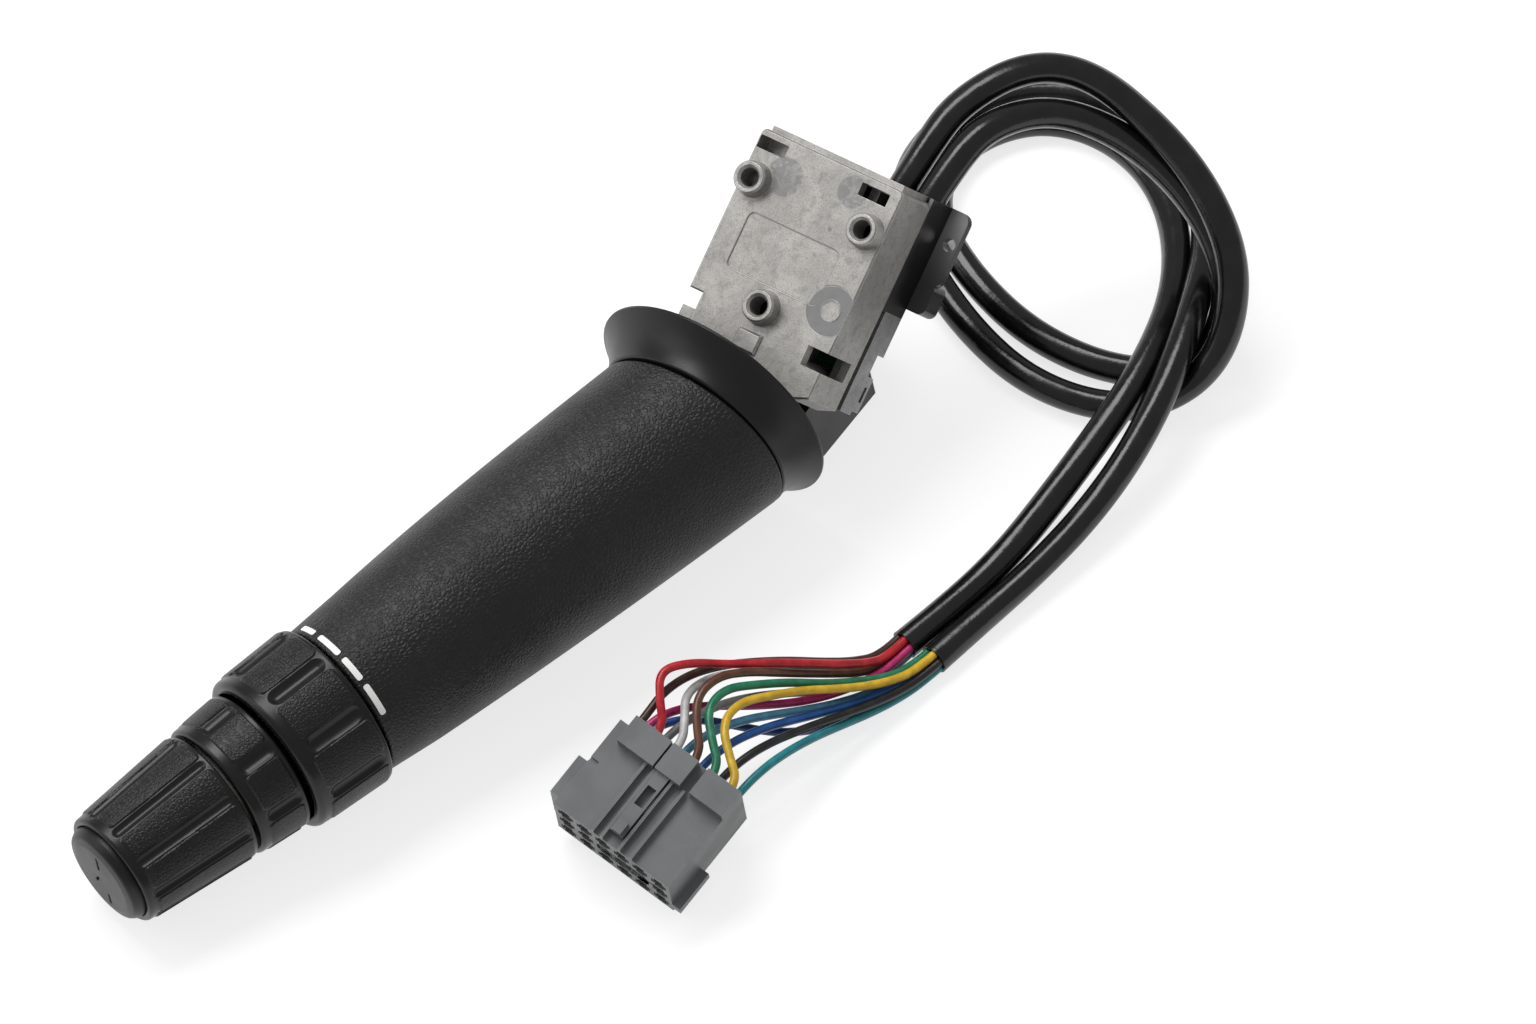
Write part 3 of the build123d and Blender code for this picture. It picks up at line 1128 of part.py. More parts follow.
def connector_terminals():
    """Brass box terminals with their crimps."""
    terminals = []
    crimp_end = CONNECTOR_DEPTH - WIRE_HOLE_DEPTH
    for column, row in FILLED:
        x, z = cavity_centre(column, row)
        length = CAVITY_DEPTH - TERMINAL_FRONT
        middle = TERMINAL_FRONT + length / 2
        shell = Pos(x, middle, z) * Box(TERMINAL_WIDE, length, TERMINAL_TALL)
        shell -= Pos(x, middle - TERMINAL_WALL, z) * Box(TERMINAL_WIDE - 2 * TERMINAL_WALL, length,
                                                        TERMINAL_TALL - 2 * TERMINAL_WALL)
        terminals.append(shell + Pos(x, 0, z) * along_y(rod(CRIMP_R, CAVITY_DEPTH - TERMINAL_WALL, crimp_end)))
    return terminals


def terminal_retainer():
    """Side lock of the connector: an open frame along its left wall."""
    body = block(-RETAINER_REACH, 0, RETAINER_FRONT, RETAINER_BACK, RETAINER_LOW, RETAINER_HIGH)
    middle = (RETAINER_LOW + RETAINER_HIGH) / 2
    for low, high in ((RETAINER_LOW, middle), (middle, RETAINER_HIGH)):
        body -= block(-RETAINER_REACH - 1, -RETAINER_WEB, RETAINER_FRONT + RETAINER_BAR,
                      RETAINER_BACK - RETAINER_BAR, low + RETAINER_WEB, high - RETAINER_WEB)
    return body


def connector_frame(housing):
    """Where the connector lies on the table: one front corner given, its lowest point on the table."""
    turn = Rot(0, 0, CONNECTOR_YAW) * Rot(CONNECTOR_PITCH, 0, 0) * Rot(0, CONNECTOR_ROLL, 0)
    corner = (turn * Pos(CONNECTOR_WIDTH, 0, 0)).position
    low = housing.moved(turn).bounding_box().min.Z
    return Pos(CONNECTOR_CORNER[0] - corner.X, CONNECTOR_CORNER[1] - corner.Y, -low) * turn


def arc_radii(points):
    """Radius of the arc at each inner point of a route."""
    radii = []
    for before, here, after in zip(points, points[1:], points[2:]):
        first = Vector(*here) - Vector(*before)
        second = Vector(*after) - Vector(*here)
        half_turn = math.radians(first.get_angle(second)) / 2
        radii.append(ARC_SHARE * min(first.length, second.length) / math.tan(half_turn))
    return radii


def sleeve_start(x):
    """The two ends of a sleeve's straight first run, in the table's frame."""
    ends = [TABLE.inverse() * Pos(x, y, -SLEEVE_DEPTH) for y in (SLEEVE_INNER_END, SLEEVE_STRAIGHT_END)]
    return tuple(tuple(end.position) for end in ends)


def cord(name, points, radius):
    """Round cord along straight runs joined by tangent arcs."""
    radii = arc_radii(points)
    path = FilletPolyline(*points, radius=radii)
    body = sweep(Plane(path @ 0, z_dir=path % 0) * Circle(radius), path=path)
    drift = body.volume / (math.pi * radius ** 2 * path.length) - 1
    print(f"{name}: length {path.length:.1f}, least radius {min(radii):.1f}, volume off {drift:.5f}")
    return body


def node_pieces():
    """Every rigid piece of the switch, in the plate frame."""
    return {
        "front_housing": front_housing(),
        "rear_cover": rear_cover(),
        "top_cover": top_cover(),
        "cover_screws": cover_screws(),
        "circuit_board": circuit_board(),
        "board_contacts": board_contacts(),
        "inner_leads": inner_leads(),
        "cable_box": cable_box(),
        "cable_grommet": cable_grommet(),
        "pivot_body": pivot_body(),
        "wiper_track": wiper_track(),
        "detent_block": detent_block(),
        "gimbal_yoke": gimbal_yoke(),
        "gimbal_pins": gimbal_pins(),
        "yoke_wiper": yoke_wiper(),
        "lever_root": lever_root(),
        "lever_pins": lever_pins(),
        "detent_plunger": detent_plunger(),
        "detent_spring": detent_spring(),
        "collar": collar(),
        "handle_shell": handle_shell(),
        "white_marks": white_marks(),
        "lever_tube": lever_tube(),
        "tube_bush": tube_bush(),
        "stalk_cable": stalk_cable(),
        "ring_1_track": track_disc(track_1_start()),
        "ring_2_track": track_disc(track_2_start()),
        "knob_track": track_disc(track_3_start()),
        "retaining_ring": retaining_ring(),
        "button_spring": button_spring(),
        "ring_1": ring_1(),
        "ring_1_wiper": rotary_wiper(track_1_start(), RING_1_WEB),
        "ring_2": ring_2(),
        "ring_2_wiper": rotary_wiper(track_2_start(), RING_2_WEB),
        "end_knob": end_knob(),
        "knob_wiper": rotary_wiper(track_3_start(), KNOB_WEB),
        "end_button": end_button(),
    }


def cord_pieces():
    """The cords and the connector, on the table."""
    housing = connector_housing()
    frame = connector_frame(housing)
    pieces = {
        "connector_housing": housing.moved(frame),
        "connector_terminals": as_shape(connector_terminals()).moved(frame),
        "terminal_retainer": terminal_retainer().moved(frame),
    }
    for (name, points), x in zip(SLEEVE_ROUTES.items(), SLEEVE_OFFSETS):
        pieces[name] = cord(name, sleeve_start(x) + points, SLEEVE_R)
    for name, points in WIRE_ROUTES.items():
        pieces[name] = cord(name, points, WIRE_R)
    return {name: piece.moved(TABLE) for name, piece in pieces.items()}


def as_shape(piece):
    """One compound for a group of solids, the shape itself otherwise."""
    if isinstance(piece, list):
        return Compound(children=[Solid(p.solid().wrapped) for p in piece])
    return piece


def switch_frame(pieces):
    """Location of the switch's own frame: on the table, under the middle of the rigid pieces."""
    flat = Compound(children=[as_shape(p).moved(TABLE.inverse()) for p in pieces.values()])
    box = flat.bounding_box()
    return TABLE * Pos((box.min.X + box.max.X) / 2, (box.min.Y + box.max.Y) / 2, box.min.Z)


def main():
    os.makedirs("parts", exist_ok=True)
    pieces = node_pieces()
    frame = switch_frame(pieces)
    pieces.update(cord_pieces())
    for name, piece in pieces.items():
        export_step(as_shape(piece).moved(frame.inverse()), f"parts/{name}.step")


main()
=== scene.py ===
# %% [markdown]
# # A combination stalk switch
# The switch on a truck's steering column: a cast fixing plate, a tapered grip with two
# turning rings, an end knob with a push button, and leads that end in a flat connector.
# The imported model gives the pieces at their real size. This script gives them their looks.

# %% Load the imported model
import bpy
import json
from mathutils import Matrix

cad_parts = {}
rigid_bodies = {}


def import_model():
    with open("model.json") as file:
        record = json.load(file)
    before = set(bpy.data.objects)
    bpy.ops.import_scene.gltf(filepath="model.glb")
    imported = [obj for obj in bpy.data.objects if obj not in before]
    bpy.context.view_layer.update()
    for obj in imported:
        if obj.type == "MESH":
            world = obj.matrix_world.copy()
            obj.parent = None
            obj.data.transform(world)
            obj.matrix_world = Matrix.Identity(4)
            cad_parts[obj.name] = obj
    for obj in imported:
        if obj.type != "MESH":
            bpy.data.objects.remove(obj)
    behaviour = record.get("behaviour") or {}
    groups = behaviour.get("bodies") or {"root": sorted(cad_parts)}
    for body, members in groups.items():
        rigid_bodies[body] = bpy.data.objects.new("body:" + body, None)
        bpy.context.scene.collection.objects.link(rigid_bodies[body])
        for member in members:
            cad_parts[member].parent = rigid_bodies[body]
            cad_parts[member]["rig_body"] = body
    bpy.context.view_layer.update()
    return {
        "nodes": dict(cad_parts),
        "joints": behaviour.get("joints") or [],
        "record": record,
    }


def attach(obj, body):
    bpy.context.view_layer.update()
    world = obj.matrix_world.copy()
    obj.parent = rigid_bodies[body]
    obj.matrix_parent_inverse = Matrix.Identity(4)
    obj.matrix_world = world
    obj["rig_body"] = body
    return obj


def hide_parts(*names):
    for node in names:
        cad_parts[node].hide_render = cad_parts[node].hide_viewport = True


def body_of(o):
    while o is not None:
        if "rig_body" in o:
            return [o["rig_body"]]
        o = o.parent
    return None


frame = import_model()

# %% Tools and units
import json
import math

import bmesh
import bpy
import numpy as np
from mathutils import Matrix

MM = 0.001
TURN = 2 * math.pi
nodes = frame["nodes"]


def placed(name, data):
    """A new object in the scene, at the origin and unturned."""
    piece = bpy.data.objects.new(name, data)
    bpy.context.scene.collection.objects.link(piece)
    return piece


# %% [markdown]
# ## Frames
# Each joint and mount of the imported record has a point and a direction. Three frames are
# worked out from them, so that a piece is drawn in its own plain millimetres, such as a
# radius and a height along the stalk, and then put in its place. The stalk's frame starts
# at its bend, 100 mm behind the first ring's joint. The plate's frame starts at its middle,
# which the lowest boss is a known step away from.


# %% Three frames: plate, lever and stalk
def unit(vector):
    """The vector divided by its length."""
    vector = np.asarray(vector, dtype=float)
    return vector / np.linalg.norm(vector)


def spot(origin, x_axis, z_axis):
    """A frame as (origin, axes): the rows of axes are x, y = z cross x, and z."""
    x_axis, z_axis = unit(x_axis), unit(z_axis)
    return np.asarray(origin, dtype=float), np.array([x_axis, np.cross(z_axis, x_axis), z_axis])


def in_row(points, place):
    """Row frame = origin + MM times the sum of each local coordinate times its axis."""
    origin, axes = place
    return origin + MM * np.asarray(points, dtype=float) @ axes


def placement(axes, origin):
    """The 4 x 4 matrix whose columns are three axes and the origin."""
    matrix = np.eye(4)
    matrix[:3, :3] = np.transpose(axes)
    matrix[:3, 3] = origin
    return Matrix(matrix.tolist())


joints = {joint["name"]: joint for joint in frame["joints"]}
mounts = {mount["name"]: mount for mount in frame["record"]["mounts"]}
RING_1_STATION = 100.0
LOW_BOSS = (-0.3, -10.0)

stalk_axis = unit(joints["ring_1_turn"]["axis"])
lever_y = unit(joints["lever_up_down"]["axis"])
lever_x = unit(joints["lever_push_pull"]["axis"])
pivot = np.array(joints["lever_up_down"]["pos_m"])
bend = np.array(joints["ring_1_turn"]["pos_m"]) - RING_1_STATION * MM * stalk_axis
STALK = spot(bend, np.cross(lever_y, stalk_axis), stalk_axis)
LEVER = spot(pivot, lever_x, np.cross(lever_x, lever_y))

plate_z = unit(mounts["boss_low"]["axis"])
plate_x = unit(np.subtract(mounts["boss_right"]["pos_m"], mounts["boss_left"]["pos_m"]))
PLATE = spot(mounts["boss_low"]["pos_m"], plate_x, plate_z)
PLATE = (in_row((-LOW_BOSS[0], -LOW_BOSS[1], 0), PLATE), PLATE[1])
print("plate centre", PLATE[0].round(4), "bend", STALK[0].round(4), "pivot", LEVER[0].round(4))

# %% [markdown]
# ## Camera
# The photograph was taken with a long lens, so its lines hardly draw together. The camera
# looks down at the table from the side of the stalk, and one millimetre at the plate's
# centre covers 4.7 pixels of the picture's 1536. Those few numbers fix where the camera
# stands, and nothing has to be moved by eye.

# %% Place the camera
PICTURE_WIDTH = 1536
PICTURE_HEIGHT = 1024
PIXELS_PER_MM = 4.7
PLATE_CENTRE_PIXEL = (784.5, 266.0)
CAMERA_AZIMUTH = math.radians(-39.2)
CAMERA_ELEVATION = math.radians(56.8)
CAMERA_LENS = 1000.0
CAMERA_SENSOR = 36.0

camera_back = np.array([
    math.sin(CAMERA_AZIMUTH) * math.cos(CAMERA_ELEVATION),
    -math.cos(CAMERA_AZIMUTH) * math.cos(CAMERA_ELEVATION),
    math.sin(CAMERA_ELEVATION),
])
camera_right = np.array([math.cos(CAMERA_AZIMUTH), math.sin(CAMERA_AZIMUTH), 0.0])
camera_up = np.cross(camera_back, camera_right)


def picture_offset(pixel):
    """Row-frame step from the plate's centre to the point seen at a pixel, in the same plane."""
    across = (pixel[0] - PLATE_CENTRE_PIXEL[0]) / PIXELS_PER_MM
    upward = (PLATE_CENTRE_PIXEL[1] - pixel[1]) / PIXELS_PER_MM
    return MM * (across * camera_right + upward * camera_up)


aim = PLATE[0] + picture_offset((PICTURE_WIDTH / 2, PICTURE_HEIGHT / 2))
camera_distance = CAMERA_LENS / CAMERA_SENSOR * PICTURE_WIDTH / PIXELS_PER_MM * MM
camera = placed("camera", bpy.data.cameras.new("camera"))
camera.data.lens = CAMERA_LENS
camera.data.sensor_width = CAMERA_SENSOR
camera.data.clip_start = 1.0
camera.data.clip_end = 4 * camera_distance
camera_spot = aim + camera_distance * camera_back
camera.matrix_world = placement([camera_right, camera_up, camera_back], camera_spot)
bpy.context.scene.camera = camera
print("camera distance", round(camera_distance, 3), "m")

# %% [markdown]
# ## Material tools
# A procedural material is a small graph: coordinates go into noise, noise goes through a
# ramp, and the result tints the colour, changes the roughness or raises a bump. A few
# helpers keep that short. One adds a node with its inputs, and another starts a material
# with a Principled BSDF and coordinates in metres, read from the object itself.


# %% Node helpers
def add(tree, kind, inputs=(), out=0, **settings):
    """A new node of that kind: inputs is {socket: value or another node's output}."""
    node = tree.nodes.new(kind)
    for key, value in settings.items():
        setattr(node, key, value)
    for key, value in dict(inputs).items():
        if isinstance(value, bpy.types.NodeSocket):
            tree.links.new(value, node.inputs[key])
        else:
            node.inputs[key].default_value = value
    return node.outputs[out]


def calc(tree, operation, first, second=0.0, third=0.0):
    """One Math node: operation(first, second, third)."""
    return add(tree, "ShaderNodeMath", {0: first, 1: second, 2: third}, operation=operation)


def vector(tree, operation, first, second=(0.0, 0.0, 0.0), out=0):
    """One Vector Math node: operation(first, second)."""
    inputs = {0: first, 1: second}
    return add(tree, "ShaderNodeVectorMath", inputs, operation=operation, out=out)


def noise(tree, place, size, detail=3.0, roughness=0.55, distortion=0.0):
    """Noise whose blotches are about size millimetres wide."""
    inputs = {"Vector": place, "Scale": 1 / (size * MM), "Detail": detail,
              "Roughness": roughness, "Distortion": distortion}
    return add(tree, "ShaderNodeTexNoise", inputs)


def between(tree, value, low, high, first=0.0, last=1.0):
    """Smooth step: first where value is under low, last where it is over high."""
    inputs = {"Value": value, "From Min": low, "From Max": high, "To Min": first, "To Max": last}
    return add(tree, "ShaderNodeMapRange", inputs, interpolation_type="SMOOTHSTEP")


def tint(tree, mask, first, last):
    """Colour mix: first where the mask is 0, last where it is 1."""
    node = tree.nodes.new("ShaderNodeMix")
    node.data_type = "RGBA"
    factor, colour_a, colour_b = (node.inputs[i] for i in (0, 6, 7))
    for socket, value in ((factor, mask), (colour_a, first), (colour_b, last)):
        if isinstance(value, bpy.types.NodeSocket):
            tree.links.new(value, socket)
        else:
            socket.default_value = (*value, 1.0) if isinstance(value, tuple) else value
    return node.outputs[2]


# %% Materials and groups
def start_material(name, **sockets):
    """A new material: its tree, its shader and its object coordinates in metres."""
    material = bpy.data.materials.new(name)
    material.use_nodes = True
    tree = material.node_tree
    shader = tree.nodes["Principled BSDF"]
    for key, value in sockets.items():
        shader.inputs[key.replace("_", " ")].default_value = value
    return material, tree, shader, add(tree, "ShaderNodeTexCoord", out="Object")


def feed(shader, tree, colour=None, roughness=None, height=None, depth=0.0):
    """Feeds a colour, a roughness and a bump of depth millimetres into the shader."""
    if colour is not None:
        tree.links.new(colour, shader.inputs["Base Color"])
    if roughness is not None:
        tree.links.new(roughness, shader.inputs["Roughness"])
    if height is not None:
        inputs = {"Strength": 1.0, "Distance": depth * MM, "Height": height}
        tree.links.new(add(tree, "ShaderNodeBump", inputs), shader.inputs["Normal"])


def start_group(name, numbers, results):
    """A node group with coordinates and numbers going in, and values coming out."""
    group = bpy.data.node_groups.new(name, "ShaderNodeTree")
    sockets = group.interface
    sockets.new_socket("Place", in_out="INPUT", socket_type="NodeSocketVector")
    for key, value in numbers.items():
        number = sockets.new_socket(key, in_out="INPUT", socket_type="NodeSocketFloat")
        number.default_value = value
    for key in results:
        sockets.new_socket(key, in_out="OUTPUT", socket_type="NodeSocketFloat")
    given = group.nodes.new("NodeGroupInput").outputs
    return group, given, group.nodes.new("NodeGroupOutput").inputs


def use_group(tree, group, place, **numbers):
    """The outputs of a group node with its own numbers."""
    node = tree.nodes.new("ShaderNodeGroup")
    node.node_tree = group
    tree.links.new(place, node.inputs["Place"])
    for key, value in numbers.items():
        node.inputs[key].default_value = value
    return node.outputs


# %% [markdown]
# ## Shared surface effects
# Every moulded piece here has a grain from its mould, and everything that has been handled
# has fine scratches and a little dust. Each could be drawn anew in every material, but as
# one node group each, the grip, the rings and the connector share the same recipe with
# their own sizes. The leather grain is a Voronoi pattern, whose cell borders are the fine
# creases, with its coordinates bent a little by noise so that no cell is regular.

# %% Group: leather grain
leather, given, result = start_group(
    "leather_grain", {"Cell": 0.8, "Wander": 0.5}, ["Height", "Patch"])
here = given["Place"]
warp = add(leather, "ShaderNodeTexNoise", {"Vector": here, "Scale": 900.0, "Detail": 1.0}, out=1)
bent = vector(leather, "SUBTRACT", warp, (0.5, 0.5, 0.5))
reach = calc(leather, "MULTIPLY", given["Wander"], MM)
bent = add(leather, "ShaderNodeVectorMath", {0: bent, "Scale": reach}, operation="SCALE")
bent = vector(leather, "ADD", here, bent)
per_metre = calc(leather, "DIVIDE", 1 / MM, given["Cell"])
cells = add(leather, "ShaderNodeTexVoronoi", {"Vector": bent, "Scale": per_metre},
            feature="DISTANCE_TO_EDGE")
pebbles = between(leather, cells, 0.0, 0.32)
fine = add(leather, "ShaderNodeTexNoise", {"Vector": here, "Scale": 4200.0, "Detail": 2.0})
leather.links.new(calc(leather, "MULTIPLY_ADD", fine, 0.35, pebbles), result["Height"])
broad = add(leather, "ShaderNodeTexNoise", {"Vector": here, "Scale": 90.0, "Detail": 3.0})
leather.links.new(between(leather, broad, 0.35, 0.7), result["Patch"])
print(leather.name, len(leather.nodes), "nodes")

# %% Group: scratches and dust
handled, given, result = start_group(
    "handling", {"Scratches": 0.5, "Dust": 0.5}, ["Scratch", "Dust"])
here = given["Place"]
streak = add(handled, "ShaderNodeMapping", {
    "Vector": here, "Rotation": (0.3, 0.5, 0.9), "Scale": (2600.0, 130.0, 2600.0)})
streak = add(handled, "ShaderNodeTexNoise", {"Vector": streak, "Scale": 1.0, "Detail": 2.0})
patchy = add(handled, "ShaderNodeTexNoise", {"Vector": here, "Scale": 120.0, "Detail": 2.0})
streak = calc(handled, "MULTIPLY", between(handled, streak, 0.66, 0.76),
              between(handled, patchy, 0.45, 0.7))
handled.links.new(calc(handled, "MULTIPLY", streak, given["Scratches"]), result["Scratch"])
specks = add(handled, "ShaderNodeTexNoise", {"Vector": here, "Scale": 2300.0, "Detail": 3.0})
cloud = add(handled, "ShaderNodeTexNoise", {"Vector": here, "Scale": 60.0, "Detail": 4.0})
dust = calc(handled, "MULTIPLY", between(handled, specks, 0.55, 0.75),
            between(handled, cloud, 0.35, 0.75))
handled.links.new(calc(handled, "MULTIPLY", dust, given["Dust"]), result["Dust"])
print(handled.name, len(handled.nodes), "nodes")

# %% [markdown]
# ## Plastics
# Black plastic is never pure black. Its colour stays very low, and what the eye reads is
# the sheen, which grain and scratches break up. The same function makes all of them, with
# a grain size, a depth and a sheen of their own. The rings have grain on their raised
# panels alone, so there an attribute of the mesh says where the grain shows.


# %% Moulded plastics
def moulded(name, colour, roughness, cell=0.8, depth=0.03, masked=False, sheen=0.5):
    """Grained plastic: dust lightens the colour, scratches and patches change the sheen."""
    material, tree, shader, place = start_material(name, IOR=1.49, Specular_IOR_Level=sheen)
    grain = use_group(tree, leather, place, Cell=cell, Wander=0.4 * cell)
    marks = use_group(tree, handled, place, Scratches=0.5, Dust=0.5)
    light = tuple(min(1.0, 1.9 * part + 0.012) for part in colour)
    shade = tint(tree, grain["Patch"], colour, tuple(0.82 * part for part in colour))
    shade = tint(tree, calc(tree, "MULTIPLY", marks["Dust"], 0.6), shade, light)
    shade = tint(tree, calc(tree, "MULTIPLY", marks["Scratch"], 0.5), shade, light)
    gloss = calc(tree, "MULTIPLY_ADD", grain["Patch"], 0.07, roughness - 0.03)
    gloss = calc(tree, "MULTIPLY_ADD", marks["Scratch"], 0.15, gloss)
    height = grain["Height"]
    if masked:
        mask = add(tree, "ShaderNodeAttribute", out="Fac", attribute_name="grained")
        height = calc(tree, "MULTIPLY", height, mask)
        gloss = calc(tree, "MULTIPLY_ADD", mask, 0.1, calc(tree, "SUBTRACT", gloss, 0.08))
    feed(shader, tree, shade, gloss, height, depth)
    return material


BLACK = (0.009, 0.009, 0.0094)
GRIP_BLACK = moulded(
    "grip_leather_black", (0.012, 0.012, 0.0125), 0.45, cell=1.0, depth=0.09, sheen=0.4)
RING_BLACK = moulded("ring_black", BLACK, 0.38, cell=0.8, depth=0.06, masked=True, sheen=0.36)
SATIN_BLACK = moulded("satin_black", BLACK, 0.38, cell=0.3, depth=0.008, sheen=0.36)
BOX_BLACK = moulded("box_black", (0.008, 0.008, 0.0085), 0.32, cell=0.4, depth=0.006, sheen=0.4)
# Edge plastics: lighter copies for the bevels, partly wear and partly a painted highlight.
BOX_EDGE_WEAR_AND_HIGHLIGHT = moulded("box_edge_wear_and_painted_highlight", (0.035, 0.035, 0.037), 0.3, cell=0.4, depth=0.006)
CONNECTOR_GREY = moulded("connector_grey", (0.185, 0.19, 0.196), 0.46, cell=0.25, depth=0.006)
CONNECTOR_EDGE_WEAR_AND_HIGHLIGHT = moulded("connector_edge_wear_and_painted_highlight", (0.4, 0.405, 0.41), 0.4, cell=0.25, depth=0.004)
NATURAL = moulded("natural_nylon", (0.55, 0.53, 0.47), 0.4, cell=0.3, depth=0.005)
RUBBER = moulded("black_rubber", (0.02, 0.02, 0.02), 0.62, cell=0.3, depth=0.01)
print("plastics:", len(bpy.data.materials))

# %% [markdown]
# ## Marks on the plate
# Zinc and aluminium castings come out of the die with a cloudy grey skin: warm patches,
# darker flow marks and fine specks. The ejector pins leave flat discs that took the blast
# differently, and the plate has a round pad and a thin line round the place of a label.
# They could be cut into the mesh, but they are only a change of skin. So they are drawn by
# their distance from a point or a line of the plate, in the plate's own frame, which a
# Mapping node gives. Each disc is (x, y, radius), in millimetres.

# %% Masks in the plate's frame
EJECTOR_DISCS = ((-8.9, 17.2, 4.3), (7.2, 20.4, 3.6))
RING_MARK = (14.3, -4.7, 5.5, 2.2)
PUNCH_DOT = (6.0, 11.2, 0.5)
LABEL_MIDDLE = (-1.1, 1.2)
LABEL_HALF = (11.7, 6.5)
LABEL_ROUND = 1.5
MARK_GREY = (0.2, 0.203, 0.206)


def plate_mapping(tree, place):
    """Coordinates of the plate's frame in millimetres: axes times (point - origin) / MM."""
    origin, axes = PLATE
    turn = Matrix(axes.tolist()).to_euler("XYZ")
    return add(tree, "ShaderNodeMapping", {
        "Vector": place, "Rotation": tuple(turn), "Location": tuple(-axes @ origin / MM),
        "Scale": (1 / MM, 1 / MM, 1 / MM)})


def faces_plate(tree, low):
    """1 where the surface faces the way the plate does, and 0 where its cosine is under low."""
    normal = add(tree, "ShaderNodeTexCoord", out="Normal")
    facing = vector(tree, "DOT_PRODUCT", normal, tuple(PLATE[1][2]), out=1)
    return between(tree, facing, low, 0.98)


def disc(tree, flat, centre, edge=0.2):
    """1 inside a disc of the plate and 0 outside: centre is (x, y, radius)."""
    x, y, radius = centre
    away = vector(tree, "DISTANCE", flat, (x, y, 0.0), out=1)
    return between(tree, away, radius - edge, radius + edge, 1.0, 0.0)


def label_edge(tree, flat):
    """Line along a round-cornered rectangle: distance = length(max(|p - c| - h + r, 0)) - r."""
    middle = vector(tree, "ABSOLUTE", vector(tree, "SUBTRACT", flat, (*LABEL_MIDDLE, 0.0)))
    inner = (LABEL_HALF[0] - LABEL_ROUND, LABEL_HALF[1] - LABEL_ROUND, 0.0)
    corner = vector(tree, "MAXIMUM", vector(tree, "SUBTRACT", middle, inner))
    away = calc(tree, "SUBTRACT", vector(tree, "LENGTH", corner, out=1), LABEL_ROUND)
    return between(tree, calc(tree, "ABSOLUTE", away), 0.05, 0.32, 1.0, 0.0)


def plate_marks(tree, place, shade, gloss, dark):
    """Discs, ring, dot and label line, only where the surface faces the way the plate does."""
    facing = faces_plate(tree, 0.93)
    swirl = noise(tree, place, 2.2, detail=2.0, distortion=1.6)
    flat = vector(tree, "MULTIPLY", plate_mapping(tree, place), (1.0, 1.0, 0.0))
    wander = add(tree, "ShaderNodeCombineXYZ", {0: swirl, 1: noise(tree, place, 3.1)})
    wavy = vector(tree, "ADD", flat, vector(tree, "SUBTRACT", wander, (0.5, 0.5, 0.0)))
    discs = calc(tree, "MAXIMUM", *(disc(tree, wavy, centre) for centre in EJECTOR_DISCS))
    discs = calc(tree, "MULTIPLY", discs, between(tree, swirl, 0.42, 0.62, 0.75, 0.3))
    x, y, outer, inner = RING_MARK
    hole = disc(tree, wavy, (x, y, inner))
    ring = calc(tree, "SUBTRACT", disc(tree, flat, (x, y, outer), 0.08), hole)
    marks = calc(tree, "MAXIMUM", discs, calc(tree, "MULTIPLY", ring, 0.9))
    marks = calc(tree, "MULTIPLY", marks, facing)
    shade = tint(tree, marks, shade, MARK_GREY)
    lines = calc(tree, "MAXIMUM", label_edge(tree, flat), disc(tree, flat, PUNCH_DOT, 0.12))
    lines = calc(tree, "MULTIPLY", calc(tree, "MULTIPLY", lines, facing), 0.62)
    return tint(tree, lines, shade, dark), calc(tree, "MULTIPLY_ADD", marks, 0.08, gloss)


# %% [markdown]
# ## Metals
# Soft clouds, flow marks and a blasted grain, each a noise of its own size, mix three
# greys of one metal. The edges of a casting have a brighter metal of their own, partly
# rubbed bare by handling and partly a painted highlight, and the pins and contacts inside
# take the same recipe in other colours.


# %% Cast and drawn metals
def cast(name, colour, metallic, roughness, marked=False, depth=0.018):
    """Cloudy casting: soft clouds, flow marks and a fine blasted grain in one grey."""
    material, tree, shader, place = start_material(name, Metallic=metallic)
    clouds = noise(tree, place, 9.0, detail=4.0, roughness=0.55, distortion=0.4)
    flow = noise(tree, place, 2.2, detail=3.0, roughness=0.6, distortion=0.5)
    grain = noise(tree, place, 0.36, detail=4.0, roughness=0.8)
    light = tuple(min(1.0, 1.15 * part) for part in colour)
    middle = tuple(0.93 * part for part in colour)
    dark = tuple(0.42 * part for part in colour)
    shade = tint(tree, between(tree, clouds, 0.4, 0.64), middle, light)
    shade = tint(tree, between(tree, flow, 0.48, 0.74, 0.0, 0.4), shade, dark)
    shade = tint(tree, between(tree, grain, 0.46, 0.66, 0.0, 0.6), shade, dark)
    gloss = calc(tree, "MULTIPLY_ADD", flow, 0.2, roughness - 0.1)
    if marked:
        shade, gloss = plate_marks(tree, place, shade, gloss, dark)
    feed(shader, tree, shade, gloss, calc(tree, "MULTIPLY_ADD", grain, 0.8, flow), depth)
    return material


CAST_METAL = cast("cast_metal", (0.4, 0.388, 0.366), 0.62, 0.42, marked=True, depth=0.03)
# Edge metals: brighter copies for the bevels, partly worn bare and partly a painted highlight.
CAST_EDGE_WEAR_AND_HIGHLIGHT = cast("cast_edge_wear_and_painted_highlight", (0.92, 0.9, 0.87), 0.3, 0.34)
COVER_METAL = cast("cover_metal", (0.31, 0.312, 0.31), 0.65, 0.44)
COVER_EDGE_WEAR_AND_HIGHLIGHT = cast("cover_edge_wear_and_painted_highlight", (0.74, 0.74, 0.74), 0.3, 0.36)
STEEL = cast("bright_steel", (0.56, 0.57, 0.58), 0.95, 0.3)
BRASS = cast("contact_brass", (0.75, 0.6, 0.38), 0.95, 0.28)
print("metals:", CAST_METAL.name, COVER_METAL.name, STEEL.name, BRASS.name)
